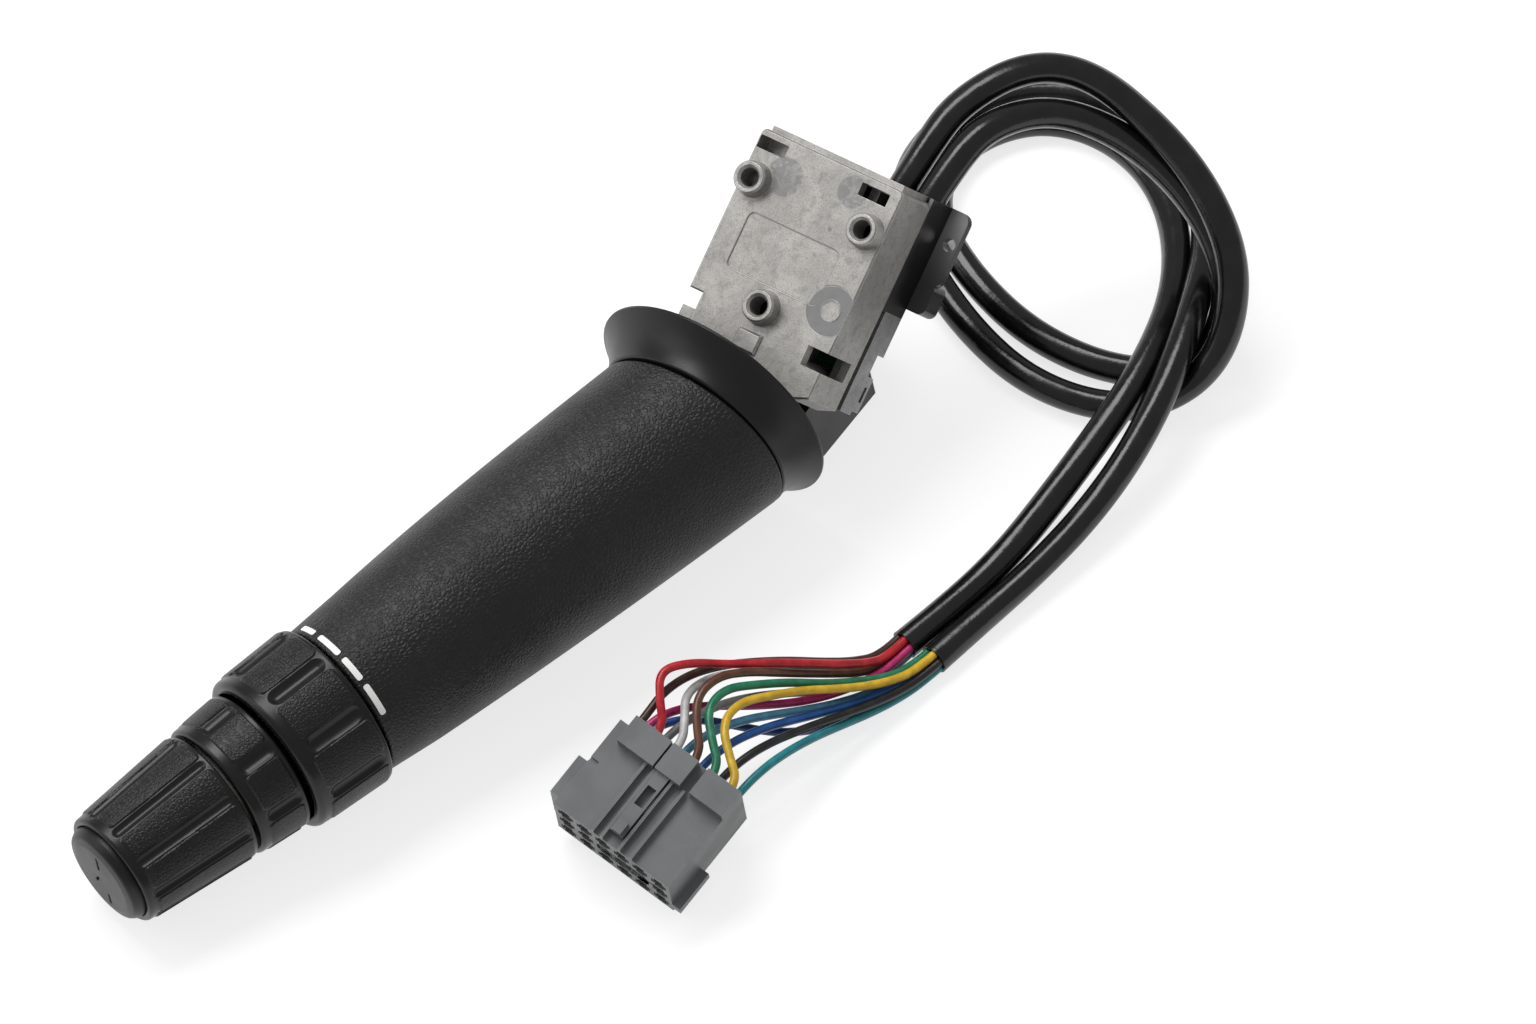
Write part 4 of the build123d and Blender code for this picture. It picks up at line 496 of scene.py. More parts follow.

# %% [markdown]
# ## Flange of the cable box
# The flange beside the plate has a painted reflection: a grey sheen of the lamp painted into
# its colour, strongest at its upper end. The mask is the place in the plate's frame, times how
# far the surface faces the way the plate does.

# %% Painted reflection on the flange
FLANGE_FROM = 17.4
FLANGE_ENDS = (8.0, 24.0)
FLANGE_PAINTED_REFLECTION = (0.25, 0.25, 0.252)
tree = BOX_BLACK.node_tree
shader = tree.nodes["Principled BSDF"]
flat = plate_mapping(tree, add(tree, "ShaderNodeTexCoord", out="Object"))
apart = tree.nodes.new("ShaderNodeSeparateXYZ")
tree.links.new(flat, apart.inputs[0])
across, upward, _ = apart.outputs
beyond = between(tree, across, FLANGE_FROM, FLANGE_FROM + 0.3)
mask = calc(tree, "MULTIPLY", faces_plate(tree, 0.9), beyond)
mask = calc(tree, "MULTIPLY", mask, between(tree, upward, *FLANGE_ENDS, 0.25, 1.0))
shade = shader.inputs["Base Color"].links[0].from_socket
# Painted reflection: a grey painted into the box's base colour on the flange, strongest at its
# upper end.
feed(shader, tree, tint(tree, mask, shade, FLANGE_PAINTED_REFLECTION))
print(BOX_BLACK.name, len(tree.nodes), "nodes")

# %% [markdown]
# ## Surfaces from arrays
# A turned piece is a closed outline of (radius, height) carried round an axis. A Screw
# modifier could do that, but here all the points are worked out at once as an array of
# rows and columns, and each cell of that grid becomes one face. Fine relief, such as finger
# scoops, is added to the radius before the points are made, so it is real geometry.


# %% From a grid of points to a finished piece
def skin(name, grids, material, body, replaced=(), seams=40.0):
    """Closed grids of points (rows x columns x 3, in metres) as one mesh; each cell is a face.
    A grid joins its last column to its first, and its rows too, unless they end in points."""
    mesh = bpy.data.meshes.new(name)
    points, faces, grained, start = [], [], [], 0
    for grid, mask in grids:
        rows, columns = grid.shape[:2]
        index = start + np.arange(rows * columns).reshape(rows, columns)
        if np.ptp(grid[0], axis=0).max() > 1e-7:
            index = np.vstack([index, index[:1]])
        index = np.hstack([index, index[:, :1]])
        cells = (index[:-1, :-1], index[:-1, 1:], index[1:, 1:], index[1:, :-1])
        faces.append(np.stack(cells, axis=-1).reshape(-1, 4))
        points.append(grid.reshape(-1, 3))
        grained.append(np.broadcast_to(mask, (rows, columns)).reshape(-1))
        start += rows * columns
    mesh.from_pydata(np.concatenate(points).tolist(), [], np.concatenate(faces).tolist())
    layer = mesh.attributes.new("grained", "FLOAT", "POINT")
    layer.data.foreach_set("value", np.concatenate(grained).astype(np.float32))
    return finish_mesh(name, mesh, material, body, replaced, seams)


MERGE = 2e-7


def finish_mesh(name, mesh, material, body, replaced, seams):
    """Merges doubles, turns the faces outward, keeps edges sharper than seams, and places it."""
    work = bmesh.new()
    work.from_mesh(mesh)
    bmesh.ops.remove_doubles(work, verts=work.verts, dist=MERGE)
    bmesh.ops.dissolve_degenerate(work, edges=work.edges, dist=MERGE)
    bmesh.ops.recalc_face_normals(work, faces=work.faces)
    work.to_mesh(mesh)
    work.free()
    mesh.shade_smooth()
    mesh.set_sharp_from_angle(angle=math.radians(seams))
    mesh.materials.append(material)
    piece = placed(name, mesh)
    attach(piece, body)
    if replaced:
        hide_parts(*replaced)
    print(name, len(mesh.polygons), "faces")
    return piece


# %% Outlines with rounded corners
ARC_POINTS = 6
NEARLY_STRAIGHT = 3.1


def rounded(corners, step):
    """Closed outline through corners (radius, height, rounding): each corner becomes a tangent
    arc. Straight stretches are cut into pieces no longer than step, or than the corner's own
    fourth number for the stretch after it."""
    spots = np.array([corner[:2] for corner in corners], dtype=float)
    track, longest = [], []
    for i, corner in enumerate(corners):
        here, before, after = spots[i], spots[i - 1], spots[(i + 1) % len(corners)]
        inward, outward = unit(before - here), unit(after - here)
        opening = math.acos(np.clip(inward @ outward, -1, 1))
        bow = corner[2]
        if bow <= 0 or opening > NEARLY_STRAIGHT:
            track.append(here[None])
            longest.append(corner[3:] or (step,))
            continue
        reach = bow / math.tan(opening / 2)
        middle = here + unit(inward + outward) * bow / math.sin(opening / 2)
        first, last = here + inward * reach - middle, here + outward * reach - middle
        share = np.linspace(0, 1, ARC_POINTS)[:, None]
        arc = first * (1 - share) + last * share
        track.append(middle + bow * arc / np.linalg.norm(arc, axis=1, keepdims=True))
        longest.append((step,) * (ARC_POINTS - 1) + tuple(corner[3:] or (step,)))
    track, longest = np.concatenate(track), np.concatenate(longest)
    stretch = np.roll(track, -1, axis=0) - track
    pieces = np.maximum(1, np.ceil(np.linalg.norm(stretch, axis=1) / longest).astype(int))
    if not spots[[0, -1], 0].any():
        pieces[-1] = 1
    owner = np.repeat(np.arange(len(track)), pieces)
    part = np.concatenate([np.arange(count) / count for count in pieces])[:, None]
    return track[owner] + part * stretch[owner]


def turned(outline, columns, place, relief=None):
    """Grid around an axis: x = r cos a, y = r sin a, z = height, with r = radius + relief."""
    angle = np.linspace(0, TURN, columns, endpoint=False)[None, :]
    radius = np.broadcast_to(outline[:, :1], (len(outline), columns))
    height = np.broadcast_to(outline[:, 1:2], (len(outline), columns))
    mask = np.zeros((len(outline), columns))
    if relief is not None:
        lift, mask = relief(angle, height, radius)
        radius = radius + lift
    grid = np.stack([radius * np.cos(angle), radius * np.sin(angle), height], axis=-1)
    return in_row(grid, place), mask


def ease(value, low, high):
    """Smooth step of an array: 0 under low, 1 over high."""
    part = np.clip((value - low) / (high - low), 0, 1)
    return part * part * (3 - 2 * part)


# %% [markdown]
# ## Rings and knob
# Both rings and the knob have the same grip pattern: rounded scoops for the fingers, and
# between them raised panels with a leather grain. Scoops could be cut with booleans, which
# leave ragged edges on so thin a wall. Here a scoop is a capsule drawn on the unrolled
# surface: its depth falls off with the distance from the capsule's middle line. A panel is
# a rectangle with round corners, drawn by its distance too.

# %% The grip pattern on an unrolled ring
PANEL_RISE = 0.32
PANEL_MARGIN = 0.25
PANEL_ROUND = 1.1
PANEL_SLOPE = 0.28


def grip_pattern(ring):
    """Relief of a ring: scoop = (from, to, half width, depth) and panel = (from, to).
    Depth = depth times (1 - (distance / half width) squared) inside the capsule."""
    scoop_from, scoop_to, half_width, depth = ring["scoop"]
    panel_from, panel_to = ring["panel"]
    pitch = TURN / ring["count"]

    def relief(angle, height, radius):
        """The change of radius, and a mask that is 1 on the panels, outside the inner wall."""
        from_scoop = (angle - math.radians(ring["turn"]) + pitch / 2) % pitch - pitch / 2
        across = np.abs(from_scoop) * radius
        beyond = np.maximum(scoop_from + half_width - height, height - scoop_to + half_width)
        away = np.hypot(across, np.maximum(beyond, 0)) / half_width
        trough = depth * np.clip(1 - away ** 2, 0, 1)
        side = pitch * radius / 2 - across
        half_side = pitch * radius / 2 - half_width - PANEL_MARGIN
        half_run = (panel_to - panel_from) / 2
        out_x = side - half_side + PANEL_ROUND
        out_z = np.abs(height - (panel_from + panel_to) / 2) - half_run + PANEL_ROUND
        corner = np.hypot(np.maximum(out_x, 0), np.maximum(out_z, 0))
        outside = corner + np.minimum(np.maximum(out_x, out_z), 0) - PANEL_ROUND
        raised = ease(-outside, 0.0, PANEL_SLOPE)
        outer = radius > ring["inner_r"]
        return np.where(outer, PANEL_RISE * raised - trough, 0.0), np.where(outer, raised, 0.0)

    return relief


# %% Outlines of the rings
RING_WALL = 2.4
RING_COLUMNS = 720
BACK_ROUND = 0.7
RIM_ROUND = 0.4
HUB_ROUND = 0.2
HUB_R = 8.0
HUB_BORE_R = 5.05
FINE_STEP = 0.3
COARSE_STEP = 2.5


def ring_outline(ring):
    """Outline of a hollow ring with a web and a hub, from its outer back edge."""
    back_r, front_r = ring["back_r"] - PANEL_RISE, ring["front_r"] - PANEL_RISE
    back, front = ring["back"], ring["front"]
    (web_back, web_front), (hub_back, hub_front) = ring["web"], ring["hub"]
    corners = [
        (back_r, back, BACK_ROUND, FINE_STEP), (front_r, front, ring["front_round"]),
        (front_r - RING_WALL, front, RIM_ROUND), (front_r - RING_WALL, web_front, 0),
        (HUB_R, web_front, 0), (HUB_R, hub_front, HUB_ROUND), (HUB_BORE_R, hub_front, 0),
        (HUB_BORE_R, hub_back, 0), (HUB_R, hub_back, HUB_ROUND), (HUB_R, web_back, 0),
        (back_r - RING_WALL, web_back, 0), (back_r - RING_WALL, back, RIM_ROUND),
    ]
    return rounded(corners, COARSE_STEP)


# %% First ring
RING_1 = {
    "back": 91.5, "front": 110.9, "back_r": 19.7, "front_r": 19.0, "front_round": 1.5,
    "hub": (92.2, 110.6), "web": (100.0, 102.3), "inner_r": 17.5,
    "count": 9, "turn": 4.0, "scoop": (92.9, 107.6, 2.0, 0.95), "panel": (92.6, 107.9),
}
grid = turned(ring_outline(RING_1), RING_COLUMNS, STALK, grip_pattern(RING_1))
skin("ring_1_fluted", [grid], RING_BLACK, "first_ring", ["ring_1"])

# %% Second ring
RING_2 = {
    "back": 111.8, "front": 124.5, "back_r": 17.0, "front_r": 16.1, "front_round": 1.0,
    "hub": (112.1, 123.8), "web": (116.8, 119.1), "inner_r": 15.2,
    "count": 8, "turn": 14.0, "scoop": (112.9, 121.9, 1.75, 0.8), "panel": (113.1, 122.1),
}
grid = turned(ring_outline(RING_2), RING_COLUMNS, STALK, grip_pattern(RING_2))
skin("ring_2_fluted", [grid], RING_BLACK, "second_ring", ["ring_2"])

# %% [markdown]
# The knob is a cup: its front end holds the push button, and its outer wall carries long
# scoops that narrow towards the front. Its panels are as long as the knob itself, so it
# needs an outline of its own but no other pattern.

# %% End knob
KNOB = {
    "back": 125.3, "front": 153.1, "back_r": 15.75, "front_r": 13.4,
    "hub": (125.3, 139.6), "web": (129.1, 131.4), "inner_r": 12.4,
    "count": 10, "turn": 10.0, "scoop": (126.4, 151.4, 1.25, 0.6), "panel": (126.2, 150.9),
}
KNOB_STEP = 0.36
KNOB_BACK_ROUND = 0.6
KNOB_FRONT_ROUND = 0.8
BUTTON_BORE_R = 11.65
outer_r, tip_r = KNOB["back_r"] - PANEL_RISE, KNOB["front_r"] - PANEL_RISE
inner_r = outer_r - RING_WALL
(web_back, web_front), (hub_back, hub_front) = KNOB["web"], KNOB["hub"]
corners = [
    (outer_r, KNOB["back"], KNOB_BACK_ROUND, KNOB_STEP), (tip_r, KNOB["front"], KNOB_FRONT_ROUND),
    (BUTTON_BORE_R, KNOB["front"], HUB_ROUND), (BUTTON_BORE_R, web_front, 0),
    (HUB_R, web_front, 0), (HUB_R, hub_front, HUB_ROUND), (HUB_BORE_R, hub_front, 0),
    (HUB_BORE_R, hub_back, 0), (HUB_R, hub_back, 0), (HUB_R, web_back, 0),
    (inner_r, web_back, 0), (inner_r, KNOB["back"], RIM_ROUND),
]
grid = turned(rounded(corners, COARSE_STEP), RING_COLUMNS, STALK, grip_pattern(KNOB))
skin("end_knob_fluted", [grid], RING_BLACK, "knob", ["end_knob"])

# %% [markdown]
# ## Push button
# A shallow cap in the knob's end: a soft rim, a face that bulges a little, and three small
# slots. The face is drawn on rings that grow from its middle, and each slot lowers the
# points near it. A slot is (x, y, lean in degrees, half length) on the face.

# %% End button
BUTTON_R = 11.5
BUTTON_FACE = 155.95
BUTTON_CROWN = (8.6, 0.05, 3.0)
BUTTON_SHOULDER = (0.9, 0.45, 1.2)
BUTTON_SIDE = (1.9, 0.7)
BUTTON_WALL = 1.8
BUTTON_BACK = 152.0
BUTTON_SKIRT = 145.0
STEM_R = 3.5
STEM_END = 128.0
BUTTON_COLUMNS = 240
BUTTON_SLOTS = ((0.0, 5.2, 90.0, 1.7), (-1.4, -1.2, 60.0, 0.8), (1.6, -5.6, 90.0, 1.3))
SLOT_DEPTH = 0.55
SLOT_HALF_WIDTH = 0.4
SLOT_STEP = 0.16
FACE_DEPTH = 0.6

crown_r, crown_fall, crown_round = BUTTON_CROWN
shoulder_in, shoulder_fall, shoulder_round = BUTTON_SHOULDER
side_fall, side_round = BUTTON_SIDE
skirt_r = BUTTON_R - BUTTON_WALL
corners = [
    (0.0, BUTTON_FACE, 0, SLOT_STEP),
    (crown_r, BUTTON_FACE - crown_fall, crown_round, SLOT_STEP),
    (BUTTON_R - shoulder_in, BUTTON_FACE - shoulder_fall, shoulder_round),
    (BUTTON_R, BUTTON_FACE - side_fall, side_round),
    (BUTTON_R, BUTTON_SKIRT, 0), (skirt_r, BUTTON_SKIRT, 0), (skirt_r, BUTTON_BACK, 0),
    (STEM_R, BUTTON_BACK, 0), (STEM_R, STEM_END, 0), (0.0, STEM_END, 0),
]
grid, mask = turned(rounded(corners, COARSE_STEP), BUTTON_COLUMNS, ((0, 0, 0), np.eye(3)))
grid = grid / MM
for x, y, lean, half_length in BUTTON_SLOTS:
    along = np.array([math.cos(math.radians(lean)), math.sin(math.radians(lean))])
    step_x, step_y = grid[..., 0] - x, grid[..., 1] - y
    run = np.clip(step_x * along[0] + step_y * along[1], -half_length, half_length)
    away = np.hypot(step_x - run * along[0], step_y - run * along[1])
    on_face = grid[..., 2] > BUTTON_FACE - FACE_DEPTH
    slot = SLOT_DEPTH * ease(-away, -SLOT_HALF_WIDTH, -0.5 * SLOT_HALF_WIDTH)
    grid[..., 2] -= np.where(on_face, slot, 0)
skin("end_button_cap", [(in_row(grid, STALK), mask)], SATIN_BLACK, "button", ["end_button"])

# %% [markdown]
# ## Grip
# The grip is a long hollow cone that bulges a little and leans back towards the collar.
# Its radius and its middle line are smooth curves through a few stations, each given as
# (height, radius, lean). At the collar it is cut off along a plane square to the lever, so
# each line along the grip starts where it meets that plane. The cut shifts with the radius
# there and the radius with the cut, so it is found in a few rounds.

# %% Grip shell
GRIP_STATIONS = np.array([
    (-19.0, 22.3, -1.4), (20.0, 21.6, -0.95), (50.0, 20.6, -0.6), (77.7, 19.0, 0.0)])
CONE_BACK, CONE_BACK_R = 77.7, 19.0
CONE_FRONT, CONE_FRONT_R = 90.7, 18.0
grip_heights, grip_radii, grip_leans = GRIP_STATIONS.T
grip_bow = np.polyfit(grip_heights, grip_radii, 3)
grip_lean = np.polyfit(grip_heights, grip_leans, 3)


def grip_radius(height):
    """A cubic through the stations up to the cone, then a straight line to the front."""
    share = (height - CONE_BACK) / (CONE_FRONT - CONE_BACK)
    cone = CONE_BACK_R + (CONE_FRONT_R - CONE_BACK_R) * share
    return np.where(height < CONE_BACK, np.polyval(grip_bow, height), cone)


def grip_points(angle, inset, height):
    """x = lean + (radius - inset) cos a, y = (radius - inset) sin a, in the stalk's frame."""
    radius = grip_radius(height) - inset
    lean = np.where(height < CONE_BACK, np.polyval(grip_lean, height), 0.0)
    x = lean + radius * np.cos(angle)
    return np.stack([x, radius * np.sin(angle), height + 0 * x], axis=-1)


# %% The cut of the grip, and its piece
GRIP_COLUMNS = 360
GRIP_CUT = 29.9
CUT_GUESS = -8.0
CUT_ROUNDS = 12
angle = np.linspace(0, TURN, GRIP_COLUMNS, endpoint=False)[None, :]
lever_x_part, lever_y_part, lever_z_part = STALK[1] @ LEVER[1][2]
cut_level = GRIP_CUT - (STALK[0] - LEVER[0]) @ LEVER[1][2] / MM
cut = np.full_like(angle, CUT_GUESS)
for _ in range(CUT_ROUNDS):
    skirt = grip_points(angle, 0.0, cut)
    cut = (cut_level - skirt[..., 0] * lever_x_part - skirt[..., 1] * lever_y_part) / lever_z_part

# The outline's heights run from 0 at the cut to FULL at the front.
FULL = 100.0
BULKHEAD = 97.5
GRIP_WALL = 2.4
BUSH_R = 6.5
GRIP_STEP = 0.8
GRAIN_FROM = 1.0
front_inset = CONE_FRONT_R - BUSH_R
corners = [
    (0.0, 0.0, 0.7, GRIP_STEP), (0.0, FULL, 0.6), (front_inset, FULL, 0),
    (front_inset, BULKHEAD, 0), (GRIP_WALL, BULKHEAD, 0), (GRIP_WALL, 0.0, 0.3),
]
outline = rounded(corners, COARSE_STEP)
share = outline[:, 1:2] / FULL
height = cut * (1 - share) + CONE_FRONT * share
grid = grip_points(np.broadcast_to(angle, height.shape), outline[:, :1], height)
grained = np.where((outline[:, :1] < 0.3) & (height > cut + GRAIN_FROM), 1.0, 0.0)
skin("handle_shell_grained", [(in_row(grid, STALK), grained)], GRIP_BLACK, "lever",
     ["handle_shell"])

# %% [markdown]
# ## White dashes
# Four dashes are printed in front of the first ring. They could be a mask in the grip's
# material, but print has an edge that one can feel, and a mesh keeps it sharp from near by.
# Each is a thin bar with round corners that follows the grip, a loop of points carried from
# one angle to the other.


# %% Printed dashes
def lofted(sections):
    """Closed loops (n x m x 3) as a grid whose two ends are drawn together to a point."""
    ends = [np.repeat(loop.mean(axis=1, keepdims=True), sections.shape[1], axis=1)
            for loop in (sections[:1], sections[-1:])]
    return np.concatenate([ends[0], sections, ends[1]])


MARK_AT = 88.95
MARK_HALF = 0.7
MARK_SPANS = ((111.0, 128.0), (83.0, 105.0), (59.5, 78.5), (31.0, 55.0))
MARK_PROUD = 0.03
MARK_SINK = 0.25
MARK_CORNER = 0.45
MARK_DRAW_IN = 0.3
MARK_COLUMNS = 24


def dash(first, last):
    """Bar on the grip: z = middle + half width times a rounded end factor, r = grip + proud."""
    turn = np.radians(np.linspace(first, last, MARK_COLUMNS))[:, None]
    corner = MARK_CORNER / math.radians(1) / grip_radius(MARK_AT)
    from_end = np.minimum(turn - turn[0], turn[-1] - turn) / math.radians(1)
    rounding = 1 - np.sqrt(1 - np.clip(1 - from_end / corner, 0, 1) ** 2)
    half = MARK_HALF - MARK_DRAW_IN * rounding
    across = np.array([-1, 0, 1, 1, 0, -1])
    proud = np.array([MARK_PROUD] * 3 + [-MARK_SINK] * 3)
    height = MARK_AT + half * across
    return lofted(grip_points(turn + 0 * height, -proud, height))


ink, tree, shader, place = start_material("printed_white", IOR=1.5)
thin = between(tree, noise(tree, place, 0.5, detail=3.0), 0.6, 0.75, 0.0, 0.35)
shade = tint(tree, thin, (0.97, 0.97, 0.96), (0.7, 0.7, 0.7))
gloss = calc(tree, "MULTIPLY_ADD", thin, 0.3, 0.4)
feed(shader, tree, shade, gloss, noise(tree, place, 0.8), 0.01)
dashes = [(in_row(dash(*span), STALK), 0.0) for span in MARK_SPANS]
skin("white_dashes", dashes, ink, "lever", ["white_marks"])

# %% [markdown]
# ## Collar
# The black flare at the foot of the grip hides the gap between the stalk and the housing
# while the lever tilts. Its rim is thin and smooth, so it catches a fine line of light. It
# is turned about the lever's axis from stations of (height, radius, lean), and the lean
# fades out from the outer wall to the neck.

# %% Collar
COLLAR_STATIONS = np.array([(20.7, 28.1, 0.0), (24.9, 24.4, 0.5), (29.6, 22.9, 1.3)])
COLLAR_BACK = 20.0
COLLAR_WALL = 1.4
COLLAR_WEB = 1.8
COLLAR_RIM_ROUND = 0.35
COLLAR_ROUND = 0.5
NECK_HOLE_R = 7.0
collar_heights, collar_radii, collar_leans = COLLAR_STATIONS.T
rim_height, rim_r, front = collar_heights[0], collar_radii[0], collar_heights[-1]
hole_inset = collar_radii[-1] - NECK_HOLE_R
corners = [
    (0.0, COLLAR_BACK, COLLAR_RIM_ROUND), (0.0, rim_height, 0, 0.25),
    (0.0, front, COLLAR_ROUND), (hole_inset, front, 0), (hole_inset, front - COLLAR_WEB, 0),
    (COLLAR_WALL, front - COLLAR_WEB, COLLAR_ROUND, 0.4),
    (COLLAR_WALL, COLLAR_BACK, COLLAR_RIM_ROUND),
]
outline = rounded(corners, COARSE_STEP)
height = np.broadcast_to(outline[:, 1:2], (len(outline), GRIP_COLUMNS))
flare = np.polyval(np.polyfit(collar_heights, collar_radii, 2), height)
lean = np.polyval(np.polyfit(collar_heights, collar_leans, 2), height)
radius = np.where(height < rim_height, rim_r, flare) - outline[:, :1]
fade = np.clip(1 - (outline[:, :1] - COLLAR_WALL) / (hole_inset - COLLAR_WALL), 0, 1)
x = np.where(height < rim_height, 0.0, lean) * fade + radius * np.cos(angle)
grid = np.stack([x, radius * np.sin(angle), height], axis=-1)
skin("collar_flare", [(in_row(grid, LEVER), 0.0)], SATIN_BLACK, "lever", ["collar"])

# %% [markdown]
# ## Cast and moulded boxes
# The imported solids of the housing already have the right shapes, but their edges are
# perfectly sharp, and real castings and mouldings never are. A merged copy of each solid
# gets a Bevel modifier. Its new faces take a second, brighter material: partly the wear
# that handling rubs bare along an edge, partly a painted highlight along it. Weighted
# Normal keeps the flat faces flat.

# %% Soft edges on a copy of a imported solid
CAD_MERGE = 2e-6
FLAT_ANGLE = 1.5
SHARP_ANGLE = 28.0


def softened(node, name, material, edge, width):
    """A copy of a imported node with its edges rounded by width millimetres."""
    mesh = nodes[node].data.copy()
    mesh.name = name
    work = bmesh.new()
    work.from_mesh(mesh)
    bmesh.ops.remove_doubles(work, verts=work.verts, dist=CAD_MERGE)
    bmesh.ops.dissolve_limit(work, angle_limit=math.radians(FLAT_ANGLE), verts=work.verts,
                             edges=work.edges)
    work.to_mesh(mesh)
    work.free()
    mesh.materials.clear()
    mesh.materials.append(material)
    mesh.materials.append(edge)
    mesh.polygons.foreach_set("material_index", np.zeros(len(mesh.polygons), dtype=np.int32))
    mesh.shade_smooth()
    mesh.set_sharp_from_angle(angle=math.radians(SHARP_ANGLE))
    piece = placed(name, mesh)
    bevel = piece.modifiers.new("soft edges", "BEVEL")
    bevel.width = width * MM
    bevel.segments = 2
    bevel.limit_method = "ANGLE"
    bevel.angle_limit = math.radians(SHARP_ANGLE)
    # The bevel faces take the edge material; where it is lighter than the face, that is partly wear
    # and partly a painted highlight.
    bevel.material = 1
    bevel.miter_outer = "MITER_ARC"
    piece.modifiers.new("flat faces", "WEIGHTED_NORMAL").keep_sharp = True
    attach(piece, body_of(nodes[node])[0])
    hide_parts(node)
    print(name, len(mesh.polygons), "faces before the bevel")
    return piece


softened("front_housing", "front_housing_cast", CAST_METAL, CAST_EDGE_WEAR_AND_HIGHLIGHT, 0.38)
softened("rear_cover", "rear_cover_pressed", COVER_METAL, COVER_EDGE_WEAR_AND_HIGHLIGHT, 0.24)
softened("top_cover", "top_cover_pressed", COVER_METAL, COVER_EDGE_WEAR_AND_HIGHLIGHT, 0.24)
softened("cable_box", "cable_box_moulded", BOX_BLACK, BOX_EDGE_WEAR_AND_HIGHLIGHT, 0.3)
softened("pivot_body", "pivot_body_moulded", SATIN_BLACK, SATIN_BLACK, 0.3)

# %% [markdown]
# ## Pieces inside
# What the housing and the stalk hide is still made of something: steel pins and springs,
# brass contacts, nylon carriers, a green board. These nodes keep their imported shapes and
# get materials of their own, through the object's slots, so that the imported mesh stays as
# it is.

# %% Materials of the inner pieces
board, tree, shader, place = start_material("circuit_board", IOR=1.5)
tracks = between(tree, noise(tree, place, 1.4, detail=2.0, distortion=0.4), 0.47, 0.53)
shade = tint(tree, tracks, (0.02, 0.11, 0.05), (0.03, 0.17, 0.07))
feed(shader, tree, shade, calc(tree, "MULTIPLY_ADD", tracks, 0.1, 0.35), tracks, 0.02)

INNER_FINISHES = {
    STEEL: ("cover_screws", "gimbal_pins", "lever_pins", "detent_plunger", "detent_spring",
            "lever_tube", "retaining_ring", "button_spring"),
    BRASS: ("board_contacts", "yoke_wiper", "wiper_track", "ring_1_wiper", "ring_2_wiper",
            "knob_wiper"),
    NATURAL: ("gimbal_yoke", "detent_block", "tube_bush", "ring_1_track", "ring_2_track",
              "knob_track"),
    RUBBER: ("cable_grommet", "stalk_cable", "inner_leads"),
    SATIN_BLACK: ("lever_root",),
    board: ("circuit_board",),
}


def dress(node, material):
    """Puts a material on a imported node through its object."""
    for material_slot in nodes[node].material_slots:
        material_slot.link = "OBJECT"
        material_slot.material = material


for material, names in INNER_FINISHES.items():
    for node in names:
        dress(node, material)
print("inner pieces:", sum(len(names) for names in INNER_FINISHES.values()))

# %% [markdown]
# ## Sleeves
# Two soft black sleeves carry the leads from the cable box in one and a half loops round
# the table. Each follows a smooth spline. Its control points, in metres, are the packed
# route's, some of them moved a few millimetres to follow the photograph. A curve with a
# round bevel would look like a steel rod. A thin PVC sleeve isn't perfectly round: it
# flattens and creases a little where it bends, so its section changes along the way, and
# at the far end its mouth is open.

# %% Routes of the sleeves
SLEEVE_ROUTES = {
    "sleeve_1": (
        (0.10555, 0.00288, 0.04538), (0.11929, 0.00655, 0.05311), (0.13113, 0.00961, 0.05593),
        (0.14804, 0.00746, 0.05692), (0.15909, -0.00136, 0.0532), (0.16461, -0.01836, 0.04453),
        (0.16588, -0.03256, 0.0359), (0.16303, -0.0446, 0.02641), (0.15468, -0.05276, 0.01711),
        (0.14503, -0.05429, 0.00929), (0.13372, -0.04973, 0.00471), (0.12508, -0.04055, 0.00352),
        (0.11903, -0.02676, 0.00352), (0.11781, -0.01076, 0.00393), (0.11993, 0.00531, 0.00423),
        (0.12426, 0.02006, 0.00433), (0.13301, 0.02923, 0.00413), (0.14364, 0.03345, 0.00393),
        (0.15527, 0.03339, 0.00363), (0.16632, 0.02922, 0.00352), (0.17555, 0.02099, 0.00352),
        (0.18054, 0.00961, 0.00393), (0.18094, -0.00371, 0.00533), (0.17651, -0.01755, 0.00773),
        (0.16777, -0.02999, 0.01079), (0.15654, -0.03971, 0.01407), (0.14498, -0.04828, 0.01521),
        (0.1326, -0.05557, 0.01374), (0.1195, -0.06086, 0.01033), (0.10523, -0.06456, 0.00713),
        (0.08968, -0.06695, 0.00463), (0.07341, -0.06858, 0.00352), (0.05872, -0.07044, 0.00352),
    ),
    "sleeve_2": (
        (0.1076, -0.00404, 0.04647), (0.12097, -0.00049, 0.05399), (0.13272, 0.00147, 0.05548),
        (0.14688, -0.00209, 0.05222), (0.15766, -0.01097, 0.04343), (0.16392, -0.02219, 0.034),
        (0.16535, -0.03455, 0.02484), (0.16159, -0.04543, 0.01474), (0.15183, -0.04913, 0.00764),
        (0.14087, -0.04444, 0.00438), (0.13271, -0.03356, 0.00352), (0.12721, -0.01842, 0.00353),
        (0.12635, -0.0023, 0.00393), (0.12881, 0.01283, 0.00423), (0.1348, 0.02209, 0.00413),
        (0.14463, 0.02677, 0.00393), (0.15497, 0.02649, 0.00363), (0.16476, 0.02189, 0.00352),
        (0.17141, 0.01288, 0.00352), (0.17375, 0.00095, 0.00403), (0.17105, -0.01213, 0.00543),
        (0.1639, -0.02456, 0.00761), (0.15396, -0.03488, 0.0099), (0.14224, -0.04284, 0.01172),
        (0.12937, -0.04875, 0.01176), (0.1157, -0.05307, 0.00983), (0.10203, -0.0567, 0.00713),
        (0.08801, -0.05992, 0.00483), (0.07261, -0.06212, 0.00352), (0.0563, -0.06351, 0.00352),
    ),
}
print("control points of the sleeves:", [len(route) for route in SLEEVE_ROUTES.values()])

